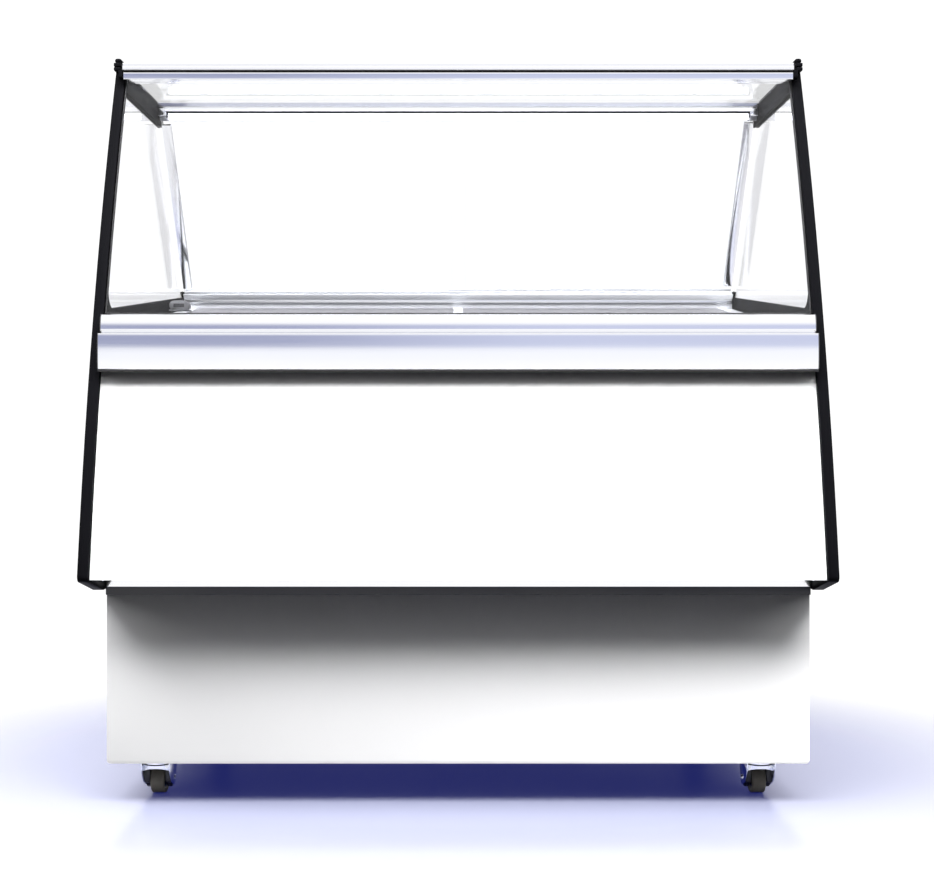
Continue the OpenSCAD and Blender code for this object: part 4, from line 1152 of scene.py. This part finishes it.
def makeGuards(key, place):
    # thread guards beside the tread with a rolled rim, hoods above them and a bridge over the tread; the
    # black hoods and bridge are partly real guards and partly painted shade filling the dark gaps between
    # cheeks and tread
    parts = []
    inner = caster["treadHalf"] + 0.0008
    outer = caster["forkHalf"] - caster["sheet"] - 0.0004
    at = (place.x, place.y + caster["trail"], caster["wheelRadius"])
    r = caster["guardRadius"]
    y = at[1]
    for side in (-1, 1):
        shell = [(0.0092, inner), (r - 0.002, inner), (r, inner + 0.002), (r, outer - 0.003)]
        shell += arcPoints((r - 0.003, outer - 0.003), 0.003, 0, 90, 5)
        shell += [(0.0092, outer)]
        parts.append(turned("guard", shell, at, (side, 0, 0), 48))
        low, high = sorted((side * inner, side * outer))
        hood = [(y - 0.0165, 0.0205), (y - 0.0215, 0.0235), (y - 0.0215, 0.047), (y - 0.012, 0.0535),
                (y + 0.012, 0.0535), (y + 0.0185, 0.045), (y + 0.0185, 0.029), (y + 0.010, 0.0205)]
        parts.append(plate("hood", hood, "x", at[0] + low, at[0] + high, 0.001))
    low, high = at[0] - inner - 0.001, at[0] + inner + 0.001
    bridge = [(y - 0.0215, 0.0475), (y - 0.014, 0.0525), (y + 0.010, 0.0535), (y + 0.010, 0.0515),
              (y - 0.013, 0.0508), (y - 0.0205, 0.0462)]
    parts.append(plate("bridge", bridge, "x", low, high, 0.0004))
    # a black ring under the crown: a dark sheet that paints the shade in the gap between crown and apron
    ring = [(0.016, 0.0535), (0.0206, 0.0535), (0.0206, 0.0592), (0.016, 0.0592)]
    parts.append(turned("shade", ring, (place.x, place.y, 0.0), (0, 0, 1), 48))
    guard = smoothShade(joined("guards_" + key, parts), 35)
    placePiece(guard, "fork_" + key, "fan_black")


def makePedal(side, place):
    low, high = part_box("brake_" + side)
    mid = (low.x + high.x) / 2
    y0, y1, z0, z1 = low.y + 0.004, high.y, high.z - 0.0045, high.z
    outline = [(y0, z0 - 0.002), (y1 - 0.008, z0), (y1 - 0.0015, z0 + 0.0005)]
    outline += arcPoints((y1 - 0.0022, z0 + 0.0025), 0.0020, -60, 90, 8)
    outline += [(y1 - 0.010, z1 - 0.0008), (y0 + 0.008, z1 - 0.0004), (y0, z1 - 0.002)]
    half = caster["pedalHalf"]
    parts = [plate("pedal", outline, "x", mid - half, mid + half, 0.0006)]
    for i in range(caster["pedalRibs"]):
        y = y1 - 0.006 - i * caster["ribPitch"]
        parts.append(box("rib", (mid - half + 0.002, y, z1 - 0.0012), (mid + half - 0.002, y + 0.0012, z1),
                         0.0004, 2))
    pivot = [(0.0028, -0.0215), (0.0045, -0.0215), (0.0045, 0.0215), (0.0028, 0.0215)]
    at = (mid, place.y + caster["pedalReach"], 0.052)
    parts.append(turned("pivot", pivot, at, (1, 0, 0), 32))
    shoe = [(0.0, -0.009), (0.0021, -0.009), (0.0021, 0.009), (0.0, 0.009)]
    parts.append(turned("shoe", shoe, (mid, at[1] - 0.0004, at[2] - 0.0036), (1, 0, 0), 20))
    placePiece(smoothShade(joined("brakePedal_" + side, parts), 35), "brake_" + side, "switch_black",
               ["brake_" + side])


def makeCasters():
    races = []
    for key, place in casterPlaces():
        parts = [forkSide(place, -1, "cheekLeft"), forkSide(place, 1, "cheekRight"),
                 forkCrown(place, "crown"), forkApron(place, "apron"), axleEnds(place, "axleEnds")]
        fork = smoothShade(joined("fork_shell_" + key, parts), 32)
        placePiece(fork, "fork_" + key, "zinc", ["fork_" + key])
        makeWheel(key, place)
        makeGuards(key, place)
        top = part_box("caster_plates")[1].z
        z0 = caster["crownTop"] + 0.0004
        base = [(0.0, z0), (0.0205, z0), (0.0240, z0 + 0.0018), (0.0240, z0 + 0.0030),
                (0.0215, top - 0.003), (0.0, top - 0.003)]
        races.append(turned("race", base, (place.x, place.y, 0.0), (0, 0, 1), 48))
        low = (place.x - 0.038, place.y - 0.031, top - 0.003)
        high = (place.x + 0.038, place.y + 0.031, top)
        races.append(box("plate", low, high, 0.0009, 2))
        pin = [(0.0, z0 - 0.0095), (0.0075, z0 - 0.0095), (0.0075, z0 - 0.0075), (0.0048, z0 - 0.006),
               (0.0048, z0 + 0.001), (0.0, z0 + 0.001)]
        races.append(turned("pin", pin, (place.x, place.y, 0.0), (0, 0, 1), 32))
    placePiece(smoothShade(joined("casterRaces", races), 32), "case", "zinc", ["caster_plates"])
    for side in ("left", "right"):
        place = next(p for k, p in casterPlaces() if k == "front_" + side)
        makePedal(side, place)


# light bar: trim with a bright lip over a dark channel, and a domed lens with small end clips

lightBar = {
    "lip": 0.0042,
    "lipLean": 0.0007,
    "lensRound": 0.0035,
    "clipWide": 0.004,
    "chips": 96,
}


def makeLightBar():
    low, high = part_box("led_housing")
    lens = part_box("led_diffuser")
    lip = high.z - lightBar["lip"]
    lean = lightBar["lipLean"]
    lipOutline = [(low.y, lip), (low.y + lean, high.z), (high.y, high.z), (high.y, lip)]
    channel = [(low.y + 0.0016, low.z + 0.0004), (low.y + 0.0016, lip), (high.y, lip),
               (high.y, low.z + 0.0004)]
    inner = lens[1].x
    forNode(extruded("lightBarLip", lipOutline, -inner, inner), "led_housing")
    placePiece(extruded("lightBarChannel", channel, -inner, inner), "case", "frame_black")
    r = lightBar["lensRound"]
    dome = [(lens[0].y, lens[1].z)]
    dome += arcPoints((lens[0].y + r, lens[0].z + r), r, 180, 270, 7)
    dome += arcPoints((lens[1].y - r, lens[0].z + r), r, 270, 360, 7)
    dome += [(lens[1].y, lens[1].z)]
    wide = lightBar["clipWide"]
    body = smoothShade(extruded("lightLens", dome, -inner + wide, inner - wide), 30)
    forNode(body, "led_diffuser")
    ends = []
    for side in (-1, 1):
        x = sorted((side * (inner - wide), side * inner))
        ends.append(extruded("lensClip", dome, *x))
        block = sorted((side * inner, side * high.x))
        corners = (block[0], low.y, low.z - 0.004), (block[1], low.y + 0.007, high.z)
        ends.append(box("endBlock", *corners, 0.0012))
    placePiece(smoothShade(joined("lightBarEnds", ends), 30), "case", "led_trim")
    tree = rowTree(materials["button_grey"])
    step = 2 * (inner - 0.02) / (lightBar["chips"] - 1)
    values = {"Count": lightBar["chips"], "Start": (-inner + 0.02, (low.y + high.y) / 2, low.z + 0.0002),
              "Step": (step, 0.0, 0.0), "Size": (0.003, 0.003, 0.0004)}
    placePiece(runNodes("lightChips", tree, values), "case", "button_grey")


# coils: end plates, a stack of fins, and hairpin bends where the tubes turn round

coils = {
    "evaporator_coil": {"plate": 0.436, "rows": 4, "first": 0.475, "pitch": 0.038, "centre": 0.0,
                        "fin": 0.0052,
                        "tube": 0.0048, "reach": 0.448},
    "condenser_coil": {"plate": 0.112, "rows": 6, "first": 0.107, "pitch": 0.034, "centre": -0.270,
                       "fin": 0.0036,
                       "tube": 0.0045, "reach": 0.122},
}


def makeCoils():
    for nodeName, c in coils.items():
        low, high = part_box(nodeName)
        mid = (low.y + high.y) / 2
        left, right = c["centre"] - c["plate"], c["centre"] + c["plate"]
        tree = rowTree(materials["coil_fins"])
        count = int((2 * c["plate"] - 0.006) / c["fin"])
        size = (0.0004, high.y - low.y - 0.003, high.z - low.z - 0.004)
        values = {"Count": count, "Start": (left + 0.004, mid, (low.z + high.z) / 2),
                  "Step": (c["fin"], 0.0, 0.0),
                  "Size": size}
        parts = [runNodes(nodeName + "Fins", tree, values)]
        for x, turn in ((left, 1), (right, -1)):
            inner = x + turn * 0.0014
            parts.append(box("endPlate", (min(x, inner), low.y, low.z), (max(x, inner), high.y, high.z),
                             0.0004, 1))
            lipX = x + turn * 0.010
            for z in (low.z, high.z - 0.0014):
                parts.append(box("lip", (min(x, lipX), low.y, z), (max(x, lipX), high.y, z + 0.0014),
                                 0.0004, 1))
        forNode(smoothShade(joined(nodeName + "Pack", parts), 30), nodeName)
        bends = []
        zs = [c["first"] + i * c["pitch"] for i in range(c["rows"])]
        for i, z in enumerate(zs):
            bends.append(tube("run", [Vector((left, mid, z)), Vector((right, mid, z))], c["tube"], 14))
        out = c["reach"] - c["tube"]
        for i in range(c["rows"] - 1):
            side = 1 if i % 2 else -1
            x0, x1 = c["centre"] + side * c["plate"], c["centre"] + side * out
            route = [(x0, mid, zs[i]), (x1, mid, zs[i]), (x1, mid, zs[i + 1]), (x0, mid, zs[i + 1])]
            bends.append(tube("bend", softened(route, 0.016, 8), c["tube"], 14))
        placePiece(joined(nodeName + "Tubes", bends), "case", "copper_pipe")


# fans: twisted blades on a hub, and wire guards

fans = {
    "condenser_fan": {"at": (-0.270, 0.299, 0.220), "radius": 0.0855, "hub": 0.024, "blades": 5,
                      "half": 0.0125},
    "evaporator_fan": {"at": (0.0, 0.040, 0.560), "radius": 0.0700, "hub": 0.021, "blades": 5,
                       "half": 0.0115},
}

wireGuards = {
    "places": (("condenserGuard", (-0.270, 0.3185, 0.220), 7), ("evaporatorGuard", (0.0, 0.0195, 0.560), 6)),
    "first": 0.020,
    "pitch": 0.011,
    "wire": 0.0009,
    "spokeFrom": 0.017,
    "spoke": 0.0012,
}


def fanBlade(fan, turn):
    # a lofted blade: chord and pitch change from root to tip
    bm = bmesh.new()
    across, along = 12, 10
    thick = 0.0008
    layers = []
    for face in (-1, 1):
        rows = []
        for i in range(along + 1):
            share = i / along
            r = fan["hub"] * 0.92 + (fan["radius"] - fan["hub"] * 0.92) * share
            chord = math.radians(62 - 12 * share) * (1 - 0.35 * max(0.0, share - 0.8) / 0.2)
            lean = math.radians(14) * share
            row = []
            for j in range(across + 1):
                u = j / across - 0.5
                a = turn + lean + u * chord
                y = fan["at"][1] + u * 2 * (fan["half"] - 0.001) * (1 - 0.25 * share) + face * thick
                y += 0.0015 * (1 - 4 * u * u)
                row.append(bm.verts.new((fan["at"][0] + r * math.cos(a), y,
                                         fan["at"][2] + r * math.sin(a))))
            rows.append(row)
        layers.append(rows)
    low, high = layers
    for i in range(along):
        for j in range(across):
            for rows in (low, high):
                bm.faces.new((rows[i][j], rows[i][j + 1], rows[i + 1][j + 1], rows[i + 1][j]))
    rim = [(0, j) for j in range(across)] + [(i, across) for i in range(along)]
    rim += [(along, j) for j in range(across, 0, -1)] + [(i, 0) for i in range(along, 0, -1)]
    for a, b in zip(rim, rim[1:] + rim[:1]):
        bm.faces.new((low[a[0]][a[1]], low[b[0]][b[1]], high[b[0]][b[1]], high[a[0]][a[1]]))
    return newPiece("blade", bm)


def makeFans():
    for nodeName, fan in fans.items():
        h, r = fan["half"], fan["hub"]
        profile = [(0.0032, -h), (r - 0.004, -h)] + arcPoints((r - 0.004, -h + 0.004), 0.004, 270, 360, 6)
        profile += [(r, h), (r - 0.002, h), (r - 0.002, -h + 0.004), (0.0032, -h + 0.004)]
        parts = [turned("hub", profile, fan["at"], (0, 1, 0), 48)]
        parts += [fanBlade(fan, 2 * math.pi * k / fan["blades"]) for k in range(fan["blades"])]
        forNode(smoothShade(joined(nodeName + "Blades", parts), 35), nodeName)
    tree = ringsTree(materials["zinc"])
    first, pitch, spokeRadius = wireGuards["first"], wireGuards["pitch"], wireGuards["spoke"]
    for name, at, rings in wireGuards["places"]:
        values = {"Count": rings, "First": first, "Pitch": pitch, "Wire": wireGuards["wire"], "Centre": at}
        parts = [runNodes(name, tree, values)]
        reaches = (wireGuards["spokeFrom"], first + pitch * (rings - 1))
        for k in range(4):
            a = math.radians(45 + 90 * k)
            spoke = [Vector((at[0] + q * math.cos(a), at[1] + spokeRadius, at[2] + q * math.sin(a)))
                     for q in reaches]
            parts.append(tube("spoke", spoke, spokeRadius, 8))
        placePiece(smoothShade(joined(name + "Wires", parts), 50), "case", "zinc")


# compressor: drawn shell halves with a weld bead, feet on grommets and a terminal cover

compressor = {
    "at": (0.150, 0.130),
    "radius": 0.082,
    "dome": 0.030,
    "lift": 0.012,
    "seam": 0.098,
    "bead": 0.0022,
    "lowRound": 0.014,
    "plateProud": 0.008,
    "feetInset": 0.004,
}


def makeCompressor():
    x, y = compressor["at"]
    r, base, top = compressor["radius"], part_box("compressor")[0].z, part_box("compressor")[1].z
    low, seam = base + compressor["lift"], base + compressor["seam"]
    d, bend, bead = compressor["dome"], compressor["lowRound"], compressor["bead"]
    shell = [(0.0, low)] + arcPoints((r - bend, low + bend), bend, 270, 360, 8)
    shell += [(r, seam - 0.004), (r + bead, seam - 0.002), (r + bead, seam + 0.002),
              (r - 0.001, seam + 0.004)]
    steps = 12
    for i in range(steps + 1):
        a = math.pi / 2 * i / steps
        shell.append(((r - 0.001) * math.cos(a) ** 0.55 if i < steps else 0.0,
                      top - 0.004 - d + d * math.sin(a)))
    parts = [turned("shell", shell, (x, y, 0.0), (0, 0, 1), 72)]
    reach = r + compressor["plateProud"]
    parts.append(box("basePlate", (x - reach, y - reach, low), (x + reach, y + reach, base + 0.016), 0.0015))
    out = r - compressor["feetInset"]
    foot = [(0.0, 0.0), (0.0105, 0.0), (0.011, 0.002), (0.0085, 0.006), (0.011, 0.010), (0.011, 0.012),
            (0.0, 0.012)]
    bolt = [(0.0, 0.0155), (0.0055, 0.0155), (0.0055, 0.019), (0.0045, 0.0195), (0.0, 0.0195)]
    for sx in (-1, 1):
        for sy in (-1, 1):
            at = (x + sx * out, y + sy * out, base)
            parts.append(turned("grommet", foot, at, (0, 0, 1), 32))
            parts.append(turned("bolt", bolt, at, (0, 0, 1), 6))
    cover = (x - r - 0.024, y - 0.030, base + 0.040), (x - r + 0.014, y + 0.030, base + 0.100)
    parts.append(box("terminalCover", *cover, 0.005, 4))
    parts.append(box("coverClip", (cover[0][0], y - 0.006, base + 0.096),
                     (cover[0][0] + 0.02, y + 0.006, base + 0.102), 0.0012))
    forNode(smoothShade(joined("compressorShell", parts), 32), "compressor")


# rear grille: hooded louvres over the slots

grille = {
    "rows": 14,
    "first": 0.060,
    "slot": 0.006,
    "margin": 0.096,
    "starts": (-0.410, 0.060),
    "length": 0.290,
    "reach": 0.0075,
}


def makeGrille():
    low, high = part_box("rear_grille")
    floor, top = low.z - 0.002, high.z + 0.002
    pitch = (top - floor - grille["margin"]) / grille["rows"]
    zs = [floor + grille["first"] + i * pitch + grille["slot"] - 0.0003 for i in range(grille["rows"])]
    points = [(x, high.y - 0.0004, z) for x in grille["starts"] for z in zs]
    tree = louvreTree(materials["grille_paint"])
    values = {"Length": grille["length"], "Reach": grille["reach"], "Sheet": 0.001}
    hoods = smoothShade(runNodes("grilleHoods", tree, values, points), 40)
    placePiece(hoods, "case", "grille_paint")
    forNode(smoothShade(cleanCopy("rear_grille", "grilleSheet"), 30), "rear_grille")


# thermometer, controls and cord gland

controls = {
    "buttonRadius": 0.005,
    "rimThick": 0.0014,
    "rimBeside": 0.0002,
    "rimBeyond": 0.0030,
    "windowX": (-0.010, 0.092),
    "windowZ": (0.829, 0.851),
}


def makeThermometer():
    low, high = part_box("thermometer")
    r, mid = 0.0085, (low.z + high.z) / 2
    ends = arcPoints((low.x + r + 0.003, mid), r + 0.0018, 90, 270, 12)
    ends += arcPoints((high.x - r - 0.003, mid), r + 0.0018, 270, 450, 12)
    body = plate("thermometerBody", ends, "y", low.y + 0.0022, high.y, 0.0016)
    foot = box("foot", (low.x, low.y + 0.004, low.z), (high.x, high.y, low.z + 0.003), 0.0008)
    bezel = box("bezel", (low.x + 0.008, low.y + 0.0008, low.z + 0.005),
                (high.x - 0.008, low.y + 0.003, high.z - 0.005), 0.0008)
    forNode(smoothShade(joined("thermometerCase", [body, foot, bezel]), 32), "thermometer")
    glass = box("thermometerWindow", (low.x + 0.0105, low.y + 0.0003, low.z + 0.0072),
                (high.x - 0.0105, low.y + 0.0014, high.z - 0.0072), 0.0004)
    placePiece(glass, "case", "switch_black")


def makeControls():
    low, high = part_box("control_panel")
    forNode(bevelled(cleanCopy("control_panel", "controlHousing"), 0.0007), "control_panel")
    parts = []
    for nodeName in ("button_set", "button_up", "button_down"):
        a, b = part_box(nodeName)
        at = ((a.x + b.x) / 2, 0.0, (a.z + b.z) / 2)
        r = controls["buttonRadius"] - 0.0001
        cap = [(0.0, a.y), (r, a.y), (r, b.y - 0.0016)]
        cap += arcPoints((r - 0.0014, b.y - 0.0016), 0.0014, 0, 80, 6)
        cap += [(r * 0.45, b.y - 0.0004), (0.0, b.y - 0.0007)]
        forNode(smoothShade(turned(nodeName + "Cap", cap, at, (0, 1, 0), 40), 35), nodeName)
        rim = [(r + 0.0009, high.y - 0.0004), (r + 0.0022, high.y - 0.0004), (r + 0.0020, high.y + 0.0006),
               (r + 0.0011, high.y + 0.0006)]
        parts.append(turned("rim", rim, at, (0, 1, 0), 40))
    thick, beside, beyond = controls["rimThick"], controls["rimBeside"], controls["rimBeyond"]
    y0, y1 = high.y - 0.0004, high.y + 0.0008
    for nodeName in ("power_switch", "light_switch"):
        a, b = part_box(nodeName)
        z0, z1 = a.z - beyond - thick, b.z + beyond + thick
        for x in (a.x - beside - thick, b.x + beside):
            parts.append(box("cheek", (x, y0, z0), (x + thick, y1, z1), 0.0003, 1))
        for z in (z0, b.z + beyond):
            parts.append(box("brow", (a.x - beside, y0, z), (b.x + beside, y1, z + thick), 0.0003, 1))
        forNode(bevelled(cleanCopy(nodeName, nodeName + "Rocker"), 0.0009, 3), nodeName)
    placePiece(smoothShade(joined("controlRims", parts), 32), "case", "control_plastic")
    middle = (low.x + high.x) / 2
    x0, x1 = (middle + x for x in controls["windowX"])
    z0, z1 = controls["windowZ"]
    window = box("controlWindow", (x0, high.y - 0.0006, z0), (x1, high.y + 0.0005, z1), 0.0005)
    placePiece(window, "case", "switch_black")


def makeGland():
    low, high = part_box("cord_gland")
    at = ((low.x + high.x) / 2, 0.0, (low.z + high.z) / 2)
    r = (high.z - low.z) / 2
    bore = 0.0046
    profile = [(bore, low.y), (0.0080, low.y), (0.0080, high.y - 0.0165), (r, high.y - 0.0165),
               (r, high.y - 0.0135),
               (0.0100, high.y - 0.0130), (0.0100, high.y - 0.0075)]
    profile += arcPoints((0.0062, high.y - 0.0075), 0.0038, 0, 70, 6) + [(0.0066, high.y), (bore, high.y)]
    body = turned("glandBody", profile, at, (0, 1, 0), 48)
    hexagon = arcPoints((at[0], at[2]), r * 0.98, 0, 300, 5)
    nut = plate("glandNut", hexagon, "y", high.y - 0.0133, high.y - 0.0085, 0.0006)
    forNode(smoothShade(joined("cordGland", [body, nut]), 30), "cord_gland")


# CAD nodes that keep their shape and only get soft shading

def smoothCadNodes():
    for nodeName in ("refrigerant_lines", "drain_pipe", "fan_shroud", "base_frame"):
        forNode(smoothShade(cleanCopy(nodeName, nodeName + "Smooth"), 30), nodeName)


# hinge knuckles: (bottom, top, round) of each one, the cap first
hinge = {
    "levels": ((1.2815, 1.2900, 0.0040), (1.2738, 1.2803, 0.0012), (1.2665, 1.2726, 0.0012)),
    "wide": 0.0118,
    "inset": 0.0010,
    "neck": 0.0016,
    "neckTop": 1.287,
    "capFront": 0.010,
    "front": 0.004,
    "back": 0.034,
}


def makeHinges():
    low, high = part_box("hinge_brackets")
    floor = hinge["levels"][-1][0]
    whole = cleanCopy("hinge_brackets", "brackets")
    parts = [bevelled(splitAt(whole, "bracketFeet", floor, False), 0.0004, 1)]
    bpy.data.objects.remove(whole)
    outer, wide, neck = high.x - hinge["inset"], hinge["wide"], hinge["neck"]
    for side in (-1, 1):
        for i, (bottom, top, round_) in enumerate(hinge["levels"]):
            x = sorted((side * outer, side * (outer - wide)))
            y = low.y + hinge["front" if i else "capFront"]
            parts.append(box("knuckle", (x[0], y, bottom), (x[1], low.y + hinge["back"], top), round_, 4))
        x = sorted((side * (outer - neck), side * (outer - wide + neck)))
        y = low.y + hinge["capFront"] + neck
        back = low.y + hinge["back"] - neck
        parts.append(box("neck", (x[0], y, floor), (x[1], back, hinge["neckTop"]), 0.0004, 1))
    forNode(smoothShade(joined("hingeKnuckles", parts), 32), "hinge_brackets")


def makeFloor():
    half = studio["floorSize"] / 2
    mesh = bpy.data.meshes.new("floor")
    mesh.from_pydata([(-half, -half, 0), (half, -half, 0), (half, half, 0), (-half, half, 0)], [],
                     [(0, 1, 2, 3)])
    floor = linked("floor", mesh)
    # painted shadow: near the case a dim base colour and a navy glow stand in for the case's blue-tinted
    # shadow, and an oval fade turns the floor to white emission further out
    mat, tree, shader, coord = startMaterial("floorGloss")
    rough = studio["floorRoughness"]
    tree.links.new(spread(tree, noiseOn(tree, coord, 2.0), rough * 0.9, rough * 1.1),
                   shader.inputs["Roughness"])
    shader.inputs["Base Color"].default_value = (*studio["floorShadeColor"], 1)
    shader.inputs["Emission Color"].default_value = (*studio["floorShadeGlow"], 1)
    shader.inputs["Emission Strength"].default_value = 1.0
    dim = shaderNode(tree, "ShaderNodeBsdfDiffuse")
    dim.inputs["Color"].default_value = (*studio["floorBounce"], 1)
    white = shaderNode(tree, "ShaderNodeEmission")
    white.inputs["Strength"].default_value = studio["backdrop"]
    oval = shaderNode(tree, "ShaderNodeMapping")
    oval.inputs["Scale"].default_value = studio["shadowOval"]
    reach = shaderNode(tree, "ShaderNodeVectorMath", operation="LENGTH")
    tree.links.new(coord.outputs["Object"], oval.inputs["Vector"])
    tree.links.new(oval.outputs["Vector"], reach.inputs[0])
    shadowFade = shaderNode(tree, "ShaderNodeMapRange", interpolation_type="SMOOTHSTEP")
    shadowFade.inputs["From Min"].default_value = studio["shadowFadeFrom"]
    shadowFade.inputs["From Max"].default_value = studio["shadowFadeTo"]
    tree.links.new(reach.outputs["Value"], shadowFade.inputs["Value"])
    far = chosen(tree, shadowFade.outputs["Result"], shader, white)
    path = shaderNode(tree, "ShaderNodeLightPath")
    final = chosen(tree, path.outputs["Diffuse Depth"], far, dim)
    tree.links.new(final.outputs[0], tree.nodes["Material Output"].inputs["Surface"])
    mesh.materials.append(mat)


makeCamera()
makeStudio()
makeFloor()
print("studio ready")
materials = makeMaterials()
paintCadNodes()
easeCadEdges()
print("edges eased")
makeCurvedFront()
makeBumper()
makeTopRails()
makeDoorTracks()
print("front and bumper made")
makeCasters()
makeScrews()
print("casters and screws made")
makeLightBar()
makeThermometer()
makeControls()
makeGland()
makeHinges()
print("fittings made")
makeCoils()
makeFans()
makeCompressor()
makeGrille()
smoothCadNodes()
print("cooling unit made")
